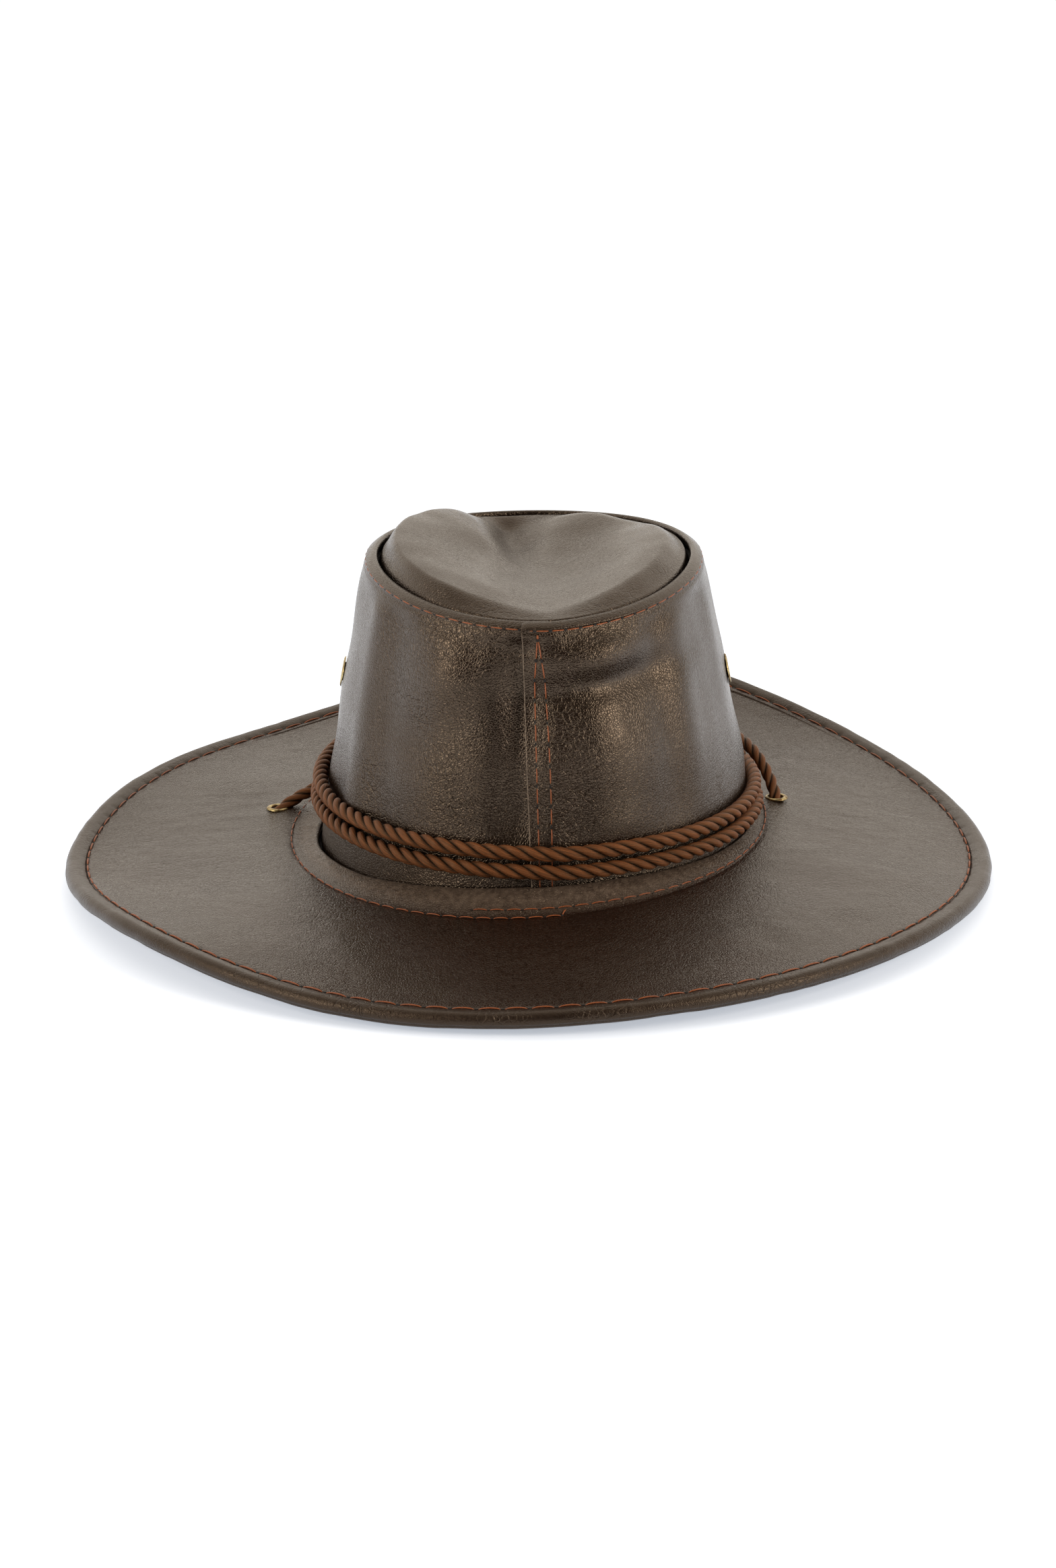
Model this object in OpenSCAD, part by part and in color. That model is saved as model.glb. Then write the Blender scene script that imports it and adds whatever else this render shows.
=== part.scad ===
// Wide-brimmed leather hat with a creased crown, a twisted hat cord wound round the crown, and a
// chin cord with a sliding bead. The hat faces +Y and its lapped back seam faces -Y. It stands on
// its brim, and the origin is the centre of the brim at floor level. All sizes are in millimetres.

/* [Crown] */
// Half width of the crown wall at its base, left to right
crown_base_x = 87.3; // [84:0.1:90]
// Half length of the crown wall at its base, back to front
crown_base_y = 103.5; // [100:0.5:107]
// Half width of the crown wall at its top
crown_top_x = 67; // [62:0.5:72]
// Half length of the crown wall at its top
crown_top_y = 89; // [84:0.5:93]
// Height of the crown from the brim to the rim ridge
crown_h = 112; // [105:1:118]
// How much higher the rim ridge is at the front than midway back
crown_front_rise = 1.8; // [0:0.1:3]
// How much higher the rim ridge is at the sides than midway round
crown_side_rise = 2.75; // [0:0.25:4]
// How quickly the wall tapers inwards above the brim
wall_taper = 1.25; // [1:0.05:1.5]
// Thickness of the leather of the crown
crown_leather = 1.4; // [1.2:0.1:1.6]
// Height of the raised rim ridge that the top panel sits inside
ridge_h = 4.4; // [4:0.1:5]
// Width of the raised rim ridge
ridge_w = 4.6; // [3.8:0.1:5]

/* [Brim] */
// Half width of the whole brim, left to right
brim_half_x = 187; // [182:1:192]
// Half length of the whole brim, back to front
brim_half_y = 204.5; // [200:0.5:210]
// Radius of the rolled edge
roll_r = 3.3; // [3:0.1:3.6]
// Thickness of one brim leather
brim_leather = 1.15; // [1:0.05:1.3]
// Half thickness of the stiffener between the two leathers
core_half = 0.8; // [0.6:0.05:1]
// Half width of the stitched ring round the crown
ring_x = 96.5; // [95:0.5:99]
// Half length of the stitched ring round the crown
ring_y = 118.5; // [115:0.5:122]
// How far the brim rises from the ring to the crown behind the hat
flange_rise = 7.8; // [5:0.1:9]

/* [Hat cord] */
// Diameter of the twisted cord wound round the crown
band_d = 6; // [5.6:0.1:6.4]
// How far the cord climbs in one turn round the crown
band_pitch = 7.2; // [6.8:0.1:7.4]
// Diameter of the same cord where it is pulled thin, from the crown to the knot
chin_d = 5; // [4.5:0.1:5.2]
// Length of the sliding bead on the chin cord
slider_l = 16; // [12:1:18]
// Radial gap between the bead's bores and the cord
slider_gap = 0.35; // [0.3:0.05:0.5]

/* [Fittings] */
// Bore radius of the brim eyelets
brim_bore_r = 2.8; // [2.7:0.1:3]
// Outer radius of the brim eyelets' flanges
brim_flange_r = 4.8; // [4.4:0.1:5.2]
// Bore radius of the crown's ventilation eyelets
vent_bore_r = 3.4; // [3:0.1:3.6]
// Outer radius of the ventilation eyelets' flanges
vent_flange_r = 6.2; // [5.6:0.1:6.4]
// Height of the ventilation eyelets above the brim
vent_h = 65; // [55:1:75]
// Height of the sweatband
sweatband_h = 32; // [28:1:36]

/* [Hidden] */

// Centres in plan of the crown and of the stitched ring; the brim's own centre is the origin
crown_c = [3, 8];
ring_c = [0, 8];

// Height waves round the hat as [order, cosine, sine], in mm: where the soft brim rises and dips
EDGE_WAVES = [[0, -2.5, 0], [1, 0.5, 7.5], [2, -6.5, 2.5], [3, -2.5, -4.5], [4, 0, -1], [5, 1.5, 1],
              [6, -1, 0]];
RING_WAVES = [[1, 4, 2.5], [2, -0.5, 0]];

// Divisions round the hat for the leather shells, and for the hidden ones
round_steps = 60;
inner_steps = 48;
round_angles = [for (i = [0 : round_steps - 1]) i * 360 / round_steps];
inner_angles = [for (i = [0 : inner_steps - 1]) i * 360 / inner_steps];

function wave(waves, a) = sum([for (w = waves) w[1] * cos(w[0] * a) + w[2] * sin(w[0] * a)]);
function sum(list, i = 0) = i < len(list) ? list[i] + sum(list, i + 1) : 0;
function mix(p, q, f) = p * (1 - f) + q * f;

// Height of the crown's base, such that the lowest part of the rolled edge stands on the floor
base_z = roll_r - min([for (a = round_angles) wave(EDGE_WAVES, a)]);
roll_x = brim_half_x - roll_r;
roll_y = brim_half_y - roll_r;
brim_skin = core_half + 0.05;
brim_face = brim_skin + brim_leather;

// The lap of the back seam: the outer leather starts at lap_start and covers lap_width more degrees.
// The seam leans, so at the crown's top it is lap_lean degrees further round to the left
lap_start = -91;
lap_lean = 3.3;
lap_width = 9;
lap_fade = 14;
lap_step = crown_leather + 0.1;
// Outward step of the outer leather at angle a past the raw edge of the lap
function lap_off(a) = lap_step * max(0, 1 - max(0, a - lap_width) / lap_fade);
// The same step for an angle in the usual range at height v of the wall, zero just before the raw edge
function lap_at(a, v = 0) = lap_off((a - lap_start + lap_lean * v + 720) % 360);

// Brim: height of its middle surface at the ring, at the edge, and between them
function ring_z(a) = base_z + wave(RING_WAVES, a);
function edge_z(a) = base_z + wave(EDGE_WAVES, a);
// A point of the brim at angle a: s = 0 on the stitched ring, s = 1 on the rolled edge's centre
function brim_point(a, s, up = 0) =
    [mix(ring_x, roll_x, s) * cos(a), mix(ring_c.y, 0, s) + mix(ring_y, roll_y, s) * sin(a),
     mix(ring_z(a), edge_z(a), s) + up];
// Rise of the brim's inner flange where it meets the crown: most behind the hat, nothing at its front
rise_at = -84;
rise_spread = 50;
function opening_rise(a) = flange_rise * exp(-pow(((a - rise_at + 540) % 360 - 180) / rise_spread, 2));
// A point of the brim's opening round the crown
opening_gap = 0.4;
function opening_point(a, off, up = 0) =
    [crown_c.x + (crown_base_x + off) * cos(a), crown_c.y + (crown_base_y + off) * sin(a), ring_z(a) + up];
// A point of the rolled edge: out is away from its centre line, up is above it
function edge_point(a, out, up) = [(roll_x + out) * cos(a), (roll_y + out) * sin(a), edge_z(a) + up];

// Crown wall: v = 0 at its bottom edge and v = 1 at the rim ridge
function wall_top_z(a) = base_z + crown_h + crown_front_rise * sin(a) + crown_side_rise * cos(2 * a);
function wall_z(a, v) = mix(ring_z(a) - brim_face, wall_top_z(a), v);
function wall_point(a, v, off, up = 0) =
    [crown_c.x + (mix(crown_base_x, crown_top_x, pow(v, wall_taper)) + off) * cos(a),
     crown_c.y + (mix(crown_base_y, crown_top_y, pow(v, wall_taper)) + off) * sin(a), wall_z(a, v) + up];

// Top panel: u runs left to right and w back to front, both from -1 to 1 inside the ridge
function bump(u, w, at_u, at_w, wide, long) = exp(-pow((u - at_u) / wide, 2) - pow((w - at_w) / long, 2));
function tip_shape(u, w) =
    13 * bump(u, w, -0.48, 0.4, 0.34, 0.5) + 6 * bump(u, w, 0.55, 0.3, 0.32, 0.5)
    - 5 * bump(u, w, 0.12, -0.15, 0.4, 0.5) - 8 * bump(u, w, -0.2, 0.8, 0.16, 0.35);
tip_drop = 4.6;
tip_x = crown_top_x - ridge_w - 0.4;
tip_y = crown_top_y - ridge_w - 0.4;
function tip_point(a, r, up) =
    [crown_c.x + tip_x * r * cos(a), crown_c.y + tip_y * r * sin(a),
     mix(base_z + crown_h, wall_top_z(a), r * r) - tip_drop
     + tip_shape(r * cos(a), r * sin(a)) * (1 - pow(r, 6)) + up];

// One closed solid from sections of equal length; the first half of each section is paired with
// the second half backwards, so that an open strip's ends close with a row of quads
module sweep(sections, loop = true) {
    n = len(sections);
    m = len(sections[0]);
    spans = loop ? n : n - 1;
    sides = [for (i = [0 : spans - 1]) for (j = [0 : m - 1])
        let (k = (i + 1) % n, l = (j + 1) % m)
        for (f = [[i * m + j, i * m + l, k * m + l], [i * m + j, k * m + l, k * m + j]]) f];
    ends = loop ? [] : [for (e = [0, n - 1]) for (j = [0 : m / 2 - 2])
        let (q = [j, j + 1, m - 2 - j, m - 1 - j])
        for (f = [[q[2], q[1], q[0]], [q[3], q[2], q[0]]])
        e == 0 ? [for (p = f) p] : [for (p = [2, 1, 0]) e * m + f[p]]];
    polyhedron(points = [for (s = sections) for (p = s) p], faces = concat(sides, ends), convexity = 6);
}

// One closed solid from rings of points between a first and a last pole
module pole_shell(first, rings, last) {
    n = len(rings[0]);
    k = len(rings);
    body = [for (i = [0 : k - 2]) for (j = [0 : n - 1])
        let (l = (j + 1) % n)
        for (f = [[1 + i * n + j, 1 + i * n + l, 1 + (i + 1) * n + l],
                  [1 + i * n + j, 1 + (i + 1) * n + l, 1 + (i + 1) * n + j]]) f];
    caps = [for (j = [0 : n - 1])
        let (l = (j + 1) % n)
        for (f = [[0, 1 + l, 1 + j], [k * n + 1, 1 + (k - 1) * n + j, 1 + (k - 1) * n + l]]) f];
    polyhedron(points = concat([first], [for (r = rings) for (p = r) p], [last]),
               faces = [for (f = concat(body, caps)) [f[2], f[1], f[0]]], convexity = 6);
}

// A round cord through the points of a route
cord_sides = 8;
function unit(v) = v / norm(v);
function along(route, i) = unit(route[min(i + 1, len(route) - 1)] - route[max(i - 1, 0)]);
function cord_ring(route, i, r) =
    let (t = along(route, i), side = unit(cross(t, [0, 0, 1])), top = cross(side, t))
    [for (k = [0 : cord_sides - 1]) let (b = (k + 0.5) * 360 / cord_sides)
        route[i] + r * cos(b) * side + r * sin(b) * top];
module cord(route, d) {
    // The corner radius that gives the polygon the cord's own cross-section
    r = d / 2 / sqrt(sin(360 / cord_sides) * cord_sides / 2 / PI);
    sweep([for (i = [0 : len(route) - 1]) cord_ring(route, i, r)], loop = false);
}

// The hat cord: it starts low at the left front, passes the front three times and the back twice,
// and ends high at the right front, climbing band_pitch a turn
band_start = 150;
band_turn = 828;
band_step = 9;
band_low = 8.9;
band_stand_off = band_d / 2 + 0.4;
function band_point(turned) =
    let (a = band_start - turned, h = band_low + band_pitch * turned / 360,
         v = (base_z + h - wall_z(a, 0)) / (wall_top_z(a) - wall_z(a, 0)))
    wall_point(a, v, band_stand_off + lap_at(a));
band_route = [for (turned = [0 : band_step : band_turn]) band_point(turned)];

// The chin cord's two halves: from the hat cord's ends over the brim, down through the eyelets,
// round inside the crown on the floor, and side by side through the bead to the knot
LEFT_ROUTE = [[-82, 49, 20.5], [-89, 44, 18.5], [-96, 41, 15.5], [-101, 39, 12.5], [-104, 37.5, 9.5],
    [-107, 35, 6], [-109.5, 30.5, 3.6], [-111, 24, 2.7], [-110, 14, 2.7], [-106, 3, 2.7], [-98, -8, 2.7],
    [-88, -18, 2.7], [-77, -27, 2.7], [-65, -32, 2.7], [-54, -30, 2.7], [-47, -21, 2.7], [-45, -9, 2.7],
    [-47, 4, 2.7], [-49, 17, 2.7], [-49, 30, 2.7], [-46, 43, 2.7], [-40, 54, 2.7], [-31, 62, 2.7],
    [-20, 65, 2.8], [-10, 61, 3.3], [-4, 52, 3.9], [-1.5, 41, 4.4], [-1, 29, 4.4], [-1, 17, 4.4], [-1, 5, 4.4],
    [-1, -7, 4.4], [-1, -19, 4.4], [-1, -31, 4.4], [-1, -43, 4.4], [-1, -54, 4.6]];
RIGHT_ROUTE = [[77, 69, 38.5], [84, 59, 37.5], [90, 48.5, 36], [94.5, 40.5, 33], [98, 34, 28.5],
    [100.5, 28.5, 23.5], [102, 24.5, 18.5], [103.5, 20.5, 14], [105.5, 15.5, 9.5], [107.5, 9.5, 5.8],
    [108.5, 2.5, 3.4], [107, -6, 2.7], [101, -16, 2.7], [92, -25, 2.7], [82, -32, 2.7], [70, -35, 2.7],
    [60, -31, 2.7], [54, -22, 2.7], [52, -10, 2.7], [53, 3, 2.7], [55, 16, 2.7], [55, 29, 2.7], [52, 42, 2.7],
    [46, 53, 2.7], [37, 61, 2.7], [26, 65, 2.8], [16, 61, 3.3], [10, 52, 3.9], [7.5, 41, 4.4], [7, 29, 4.4],
    [7, 17, 4.4], [7, 5, 4.4], [7, -7, 4.4], [7, -19, 4.4], [7, -31, 4.4], [7, -43, 4.4], [7, -54, 4.6]];
left_route = concat([band_point(0)], LEFT_ROUTE);
right_route = concat([band_point(band_turn)], RIGHT_ROUTE);

// The bead, the knot and the tails on the straight doubled run
run_x = 3;
run_half = 4;
run_z = 4.4;
slider_y = -38;
slider_r = 4.2;
knot_y = -56;
knot_r = 6;
knot_l = 12;
tail_l = 18;
tail_flare = 0.6;

// Eyelets on the brim, as [angle, s]
LEFT_EYELET = [166, 0.12];
RIGHT_EYELET = [8, 0.075];
eyelet_wall = 0.4;
eyelet_lip = 0.9;
washer_h = 0.5;
hole_gap = 0.1;
vent_tilt = 11;
vent_lip = 1.3;
function vent_v(a) = (base_z + vent_h - wall_z(a, 0)) / (wall_top_z(a) - wall_z(a, 0));

// Stitches: thread size, and the length of each stitch as a part of its pitch
thread_w = 1;
thread_h = 0.7;
stitch_fill = 0.8;
stitch_sink = 0.1;
module stitch(p, q) {
    d = q - p;
    middle = (p + q) / 2;
    flat = norm([d.x, d.y]);
    translate(middle)
        rotate([0, -atan2(d.z, flat), atan2(d.y, d.x)])
            cube([norm(d) * stitch_fill, thread_w, thread_h], center = true);
}
// A row of stitches through a closed or open list of points
module stitch_row(points, loop = true) {
    n = len(points);
    for (i = [0 : (loop ? n : n - 1) - 1])
        stitch(points[i], points[(i + 1) % n]);
}

brim_stitch_lift = brim_face + thread_h / 2 - stitch_sink;
edge_stitch_in = 5.6;
// Rise of the brim's middle surface from the rolled edge in to the edge stitching
function edge_inset_rise(a) = edge_stitch_in / (roll_x - ring_x) * (ring_z(a) - edge_z(a));
edge_stitches = 116;
ring_stitches = 90;
top_stitches = 72;
top_stitch_down = 2.3;
sweat_stitches = 84;
sweat_stitch_up = 4;
seam_pitch = 8;
// Each row's angle past the raw edge at the crown's base and at its top
seam_rows = [[2, 3.8], [4.7, 6.4]];
seam_from = 10;

leather_brown = [0.23, 0.17, 0.14];
dark_brown = [0.12, 0.09, 0.08];
thread_orange = [0.62, 0.3, 0.12];
cord_brown = [0.45, 0.22, 0.1];
brass = [0.72, 0.6, 0.3];

// How far the rim ridge stands out over the wall
ridge_bulge = 0.3;
// Distances of the sweatband and the lining from the wall's outer face
lining_in = 2.7;
lining_t = 0.5;
sweat_in = 3.7;
sweat_t = 1;

module crown_side() {
    // Outer face, over the ridge, and the inner face, at an angle past the raw edge of the lap
    rows = [0, 0.12, 0.3, 0.5, 0.7, 0.87];
    ridge_outside = [[0, -ridge_h], [ridge_bulge, -1.6], [-0.7, -0.2]];
    ridge_inside = [[-ridge_w + 0.9, -0.2], [-ridge_w, -1.6], [-3, -ridge_h]];
    function section(turned) =
        let (o = lap_off(turned), top = lap_start - lap_lean + turned)
        concat([for (v = rows) wall_point(top + lap_lean * (1 - v), v, o)],
               [for (p = ridge_outside) wall_point(top, 1, o + p.x, p.y)],
               [for (p = ridge_inside) wall_point(top, 1, o + p.x, p.y)],
               [for (i = [len(rows) - 1 : -1 : 0])
                   wall_point(top + lap_lean * (1 - rows[i]), rows[i], o - crown_leather)]);
    whole = 360 + lap_width;
    steps = 62;
    color(leather_brown)
        difference() {
            sweep([for (i = [0 : steps]) section(i * whole / steps)], loop = false);
            vent_hole(0);
            vent_hole(180);
        }
}

module crown_tip() {
    radii = [0.14, 0.3, 0.46, 0.62, 0.78, 0.9, 1];
    leather = 1.2;
    function ring(r, up) = [for (a = round_angles) tip_point(a, r, up)];
    color(leather_brown)
        pole_shell(tip_point(0, 0, 0), concat([for (r = radii) ring(r, 0)],
            [for (i = [len(radii) - 1 : -1 : 0]) ring(radii[i], -leather)]), tip_point(0, 0, -leather));
}

module crown_seam_binding() {
    // A folded tape over the seam between the wall and the top panel, on the inside
    tape = [[-1.7, -6.4], [-1.7, -8.5], [-2.3, -8.5], [-4, -6.8]];
    color(dark_brown)
        sweep([for (a = inner_angles) [for (p = tape) wall_point(a, 1, p.x, p.y)]]);
}

module crown_lining() {
    // A thin bag that hangs from the seam binding and lines the wall
    wall_rows = [0.9, 0.6, 0.3, 0.06];
    top_radii = [0.3, 0.6, 0.85];
    under_tip = 3;
    function top_ring(r, up) = [for (a = inner_angles) tip_point(a, r, up - under_tip)];
    function wall_ring(v, off) = [for (a = inner_angles) wall_point(a, v, -off)];
    outer = concat([for (r = top_radii) top_ring(r, 0)], [for (v = wall_rows) wall_ring(v, lining_in)]);
    inner = concat([for (i = [len(wall_rows) - 1 : -1 : 0]) wall_ring(wall_rows[i], lining_in + lining_t)],
                   [for (i = [len(top_radii) - 1 : -1 : 0]) top_ring(top_radii[i], -lining_t)]);
    color(dark_brown)
        pole_shell(tip_point(0, 0, -under_tip), concat(outer, inner), tip_point(0, 0, -under_tip - lining_t));
}

module sweatband() {
    // A leather band round the inside of the base, leaning in with the wall
    top_v = sweatband_h / crown_h;
    function section(a) = [wall_point(a, 0, -sweat_in), wall_point(a, top_v / 2, -sweat_in),
        wall_point(a, top_v, -sweat_in), wall_point(a, top_v, -sweat_in - sweat_t),
        wall_point(a, top_v / 2, -sweat_in - sweat_t), wall_point(a, 0, -sweat_in - sweat_t)];
    color([0.3, 0.2, 0.13])
        sweep([for (a = round_angles) section(a)]);
}

// A sheet of the brim between two heights over its middle surface, with the eyelets' holes
brim_rows = [0, 0.2, 0.45, 0.7, 0.9];
sheet_end = 0.06;
module brim_sheet(low, high) {
    function row(a, up) = concat([opening_point(a, opening_gap + lap_at(a), up + opening_rise(a))],
        [for (s = brim_rows) brim_point(a, s, up)], [edge_point(a, -roll_r - sheet_end, up)]);
    function section(a) = concat(row(a, low), [for (i = [len(brim_rows) + 1 : -1 : 0]) row(a, high)[i]]);
    difference() {
        sweep([for (a = round_angles) section(a)]);
        for (at = [LEFT_EYELET, RIGHT_EYELET])
            translate(brim_point(at[0], at[1]))
                cylinder(r = brim_bore_r + eyelet_wall + hole_gap, h = 20, center = true, $fn = 48);
    }
}

module brim_top() { color(leather_brown) brim_sheet(brim_skin, brim_face); }

module brim_core() { color([0.5, 0.48, 0.45]) brim_sheet(-core_half, core_half); }

module brim_bottom() { color(dark_brown) brim_sheet(-brim_face, -brim_skin); }

module brim_edge_roll() {
    // Leather wrapped round the edge wire, open towards the brim
    inner_r = roll_r - brim_leather;
    turns = [-140, -95, -50, 0, 50, 95, 140];
    function section(a) = concat(
        [for (b = turns) edge_point(a, roll_r * cos(b), roll_r * sin(b))],
        [for (i = [len(turns) - 1 : -1 : 0]) edge_point(a, inner_r * cos(turns[i]), inner_r * sin(turns[i]))]);
    color(leather_brown)
        sweep([for (a = round_angles) section(a)]);
}

module brim_edge_wire() {
    wire_r = 1.2;
    color([0.6, 0.6, 0.62])
        sweep([for (a = round_angles) [for (b = [0 : 60 : 300]) edge_point(a, wire_r * cos(b), wire_r * sin(b))]]);
}

module brim_under_tape() {
    // A flat tape under the brim that covers the joint with the crown, out to the stitched ring
    tape = 0.6;
    past_ring = 0.03;
    top = -brim_face - 0.1;
    function section(a) = [opening_point(a, -3, top), brim_point(a, past_ring, top),
        brim_point(a, past_ring, top - tape), opening_point(a, -3, top - tape)];
    color(dark_brown)
        sweep([for (a = round_angles) section(a)]);
}

// A brass eyelet whose flange sits on the plane z = 0
module eyelet(bore_r, flange_r, lip, depth) {
    barrel_r = bore_r + eyelet_wall;
    color(brass)
        rotate_extrude($fn = 48)
            polygon([[bore_r, -depth], [barrel_r, -depth], [barrel_r, 0], [flange_r, 0],
                     [flange_r - 0.15, lip * 0.5], [flange_r - 0.8, lip * 0.9], [mix(bore_r, flange_r, 0.45), lip],
                     [bore_r + 0.3, lip * 0.8], [bore_r, lip * 0.35]]);
}

module washer(bore_r, flange_r) {
    color(brass)
        rotate_extrude($fn = 48)
            polygon([[bore_r + eyelet_wall + 0.05, 0], [flange_r, 0], [flange_r - 0.2, washer_h],
                     [bore_r + eyelet_wall + 0.05, washer_h]]);
}

seat_gap = 0.25;
module brim_eyelet(at) {
    translate(brim_point(at[0], at[1], brim_face + seat_gap))
        eyelet(brim_bore_r, brim_flange_r, eyelet_lip, 2 * (brim_face + seat_gap) + washer_h);
}
module brim_washer(at) {
    translate(brim_point(at[0], at[1], -brim_face - seat_gap - washer_h))
        washer(brim_bore_r, brim_flange_r);
}
module brim_eyelet_left() { brim_eyelet(LEFT_EYELET); }
module brim_eyelet_right() { brim_eyelet(RIGHT_EYELET); }
module brim_washer_left() { brim_washer(LEFT_EYELET); }
module brim_washer_right() { brim_washer(RIGHT_EYELET); }

// Puts its children on the crown wall's outer face at angle a, with +Z pointing outwards
module on_wall(a, out) {
    translate(wall_point(a, vent_v(a), 0))
        rotate([0, (90 - vent_tilt) * cos(a), 0])
            translate([0, 0, out])
                children();
}
module vent_hole(a) {
    on_wall(a, 0)
        cylinder(r = vent_bore_r + eyelet_wall + hole_gap, h = 12, center = true, $fn = 48);
}
module crown_vent(a) {
    on_wall(a, 0.1)
        eyelet(vent_bore_r, vent_flange_r, vent_lip, crown_leather + 0.9);
}
module vent_washer(a) {
    on_wall(a, -crown_leather - washer_h - 0.3)
        washer(vent_bore_r, vent_flange_r - 0.7);
}
module crown_vent_left() { crown_vent(180); }
module crown_vent_right() { crown_vent(0); }
module vent_washer_left() { vent_washer(180); }
module vent_washer_right() { vent_washer(0); }

module hat_band_cord() { color(cord_brown) cord(band_route, band_d); }

module chin_cord_left() { color(cord_brown) cord(left_route, chin_d); }

module chin_cord_right() { color(cord_brown) cord(right_route, chin_d); }

module chin_slider() {
    // A flat wooden bead with two bores, one for each half of the cord
    color([0.35, 0.2, 0.1])
        translate([run_x, slider_y, run_z])
            rotate([90, 0, 0])
                difference() {
                    union() {
                        for (x = [-run_half, run_half])
                            translate([x, 0, 0])
                                cylinder(r = slider_r, h = slider_l, center = true, $fn = 48);
                        cube([2 * run_half, 2 * slider_r, slider_l], center = true);
                    }
                    for (x = [-run_half, run_half])
                        translate([x, 0, 0])
                            cylinder(r = chin_d / 2 + slider_gap, h = slider_l + 2, center = true, $fn = 48);
                }
}

module chin_knot() {
    // The knot that joins the two halves of the cord
    color(cord_brown)
        translate([run_x, knot_y, knot_r])
            rotate([90, 0, 0])
                rotate_extrude($fn = 32)
                    polygon([[0, -knot_l / 2], [knot_r * 0.6, -knot_l / 2], [knot_r, -knot_l / 5],
                             [knot_r, knot_l / 5], [knot_r * 0.6, knot_l / 2], [0, knot_l / 2]]);
}

module chin_tails() {
    // The two whipped ends that stand out of the knot
    color(cord_brown)
        for (x = [-1, 1])
            translate([run_x + x * 3.2, knot_y - knot_l / 2, chin_d / 2 + tail_flare])
                rotate([90, 0, 0])
                    rotate_extrude($fn = 24)
                        polygon([[0, 0], [chin_d / 2, 0], [chin_d / 2, tail_l * 0.6],
                                 [chin_d / 2 + tail_flare, tail_l], [0, tail_l]]);
}

module brim_edge_stitching() {
    color(thread_orange)
        stitch_row([for (i = [0 : edge_stitches - 1]) let (a = i * 360 / edge_stitches)
            edge_point(a, -edge_stitch_in, brim_stitch_lift + edge_inset_rise(a))]);
}
module brim_ring_stitching() {
    color(thread_orange)
        stitch_row([for (i = [0 : ring_stitches - 1]) brim_point(i * 360 / ring_stitches, 0, brim_stitch_lift)]);
}

module crown_top_stitching() {
    color(thread_orange)
        stitch_row([for (i = [0 : top_stitches - 1]) let (a = i * 360 / top_stitches)
            wall_point(a, 1, lap_at(a, 1) + ridge_bulge + thread_w / 2, -top_stitch_down)]);
}

module back_seam_stitching() {
    // Two rows through the lap, each at its own angle past the raw edge
    count = floor((crown_h - seam_from - top_stitch_down) / seam_pitch);
    color(thread_orange)
        for (row = seam_rows)
            stitch_row([for (i = [0 : count]) let (v = (seam_from + i * seam_pitch) / crown_h)
                wall_point(lap_start - lap_lean * v + mix(row[0], row[1], v), v, lap_step + thread_h / 2)],
                loop = false);
}

module sweatband_stitching() {
    color(thread_orange)
        stitch_row([for (i = [0 : sweat_stitches - 1]) let (a = i * 360 / sweat_stitches)
            wall_point(a, sweat_stitch_up / crown_h, -sweat_in - sweat_t - thread_w / 2)]);
}

crown_side();
crown_tip();
crown_seam_binding();
crown_lining();
sweatband();
brim_top();
brim_core();
brim_bottom();
brim_edge_roll();
brim_edge_wire();
brim_under_tape();
brim_eyelet_left();
brim_eyelet_right();
brim_washer_left();
brim_washer_right();
crown_vent_left();
crown_vent_right();
vent_washer_left();
vent_washer_right();
hat_band_cord();
chin_cord_left();
chin_cord_right();
chin_slider();
chin_knot();
chin_tails();
brim_edge_stitching();
brim_ring_stitching();
crown_top_stitching();
back_seam_stitching();
sweatband_stitching();
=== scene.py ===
"""Looks of a wide-brimmed leather hat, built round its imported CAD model. All sizes are in metres.

The hat faces +Y and its lapped back seam faces -Y. Shapes follow the same formulas as the CAD part,
with the soft relief, the twisted cords and the stitches added here.
"""
import math

import bmesh
import bpy
import numpy as np
from mathutils import Matrix, Vector


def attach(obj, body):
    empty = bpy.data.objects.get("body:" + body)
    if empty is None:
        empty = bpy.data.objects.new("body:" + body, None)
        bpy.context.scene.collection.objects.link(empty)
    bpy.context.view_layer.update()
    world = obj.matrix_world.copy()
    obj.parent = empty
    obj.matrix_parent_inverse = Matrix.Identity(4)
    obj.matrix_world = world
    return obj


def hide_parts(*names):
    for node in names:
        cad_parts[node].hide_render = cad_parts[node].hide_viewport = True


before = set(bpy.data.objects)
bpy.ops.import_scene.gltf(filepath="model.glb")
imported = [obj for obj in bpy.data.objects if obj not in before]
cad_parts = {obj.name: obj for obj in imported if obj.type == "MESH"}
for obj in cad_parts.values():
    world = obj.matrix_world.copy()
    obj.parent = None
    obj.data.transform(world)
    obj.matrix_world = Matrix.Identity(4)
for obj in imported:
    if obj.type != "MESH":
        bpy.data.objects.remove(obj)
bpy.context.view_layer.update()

MM = 0.001
TAU = 2 * math.pi
ACROSS = np.array([1.0, 0, 0])
UP = np.array([0, 0, 1.0])

# --- Driving sizes, the same as the CAD part's -------------------------------------------------
CROWN_BASE = (87.3 * MM, 103.5 * MM)
CROWN_TOP = (67 * MM, 89 * MM)
CROWN_H = 112 * MM
CROWN_FRONT_RISE = 1.8 * MM
CROWN_SIDE_RISE = 2.75 * MM
CROWN_CENTRE = (3 * MM, 8 * MM)
WALL_TAPER = 1.25
CROWN_LEATHER = 1.4 * MM
RIDGE_W = 4.6 * MM
BRIM_HALF = (187 * MM, 204.5 * MM)
ROLL_R = 3.3 * MM
ROLL = (BRIM_HALF[0] - ROLL_R, BRIM_HALF[1] - ROLL_R)
BRIM_FACE = 2.0 * MM
BRIM_SKIN = 0.85 * MM
RING = (96.5 * MM, 118.5 * MM)
RING_CY = 8 * MM
FLANGE_RISE = 7.8 * MM
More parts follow.
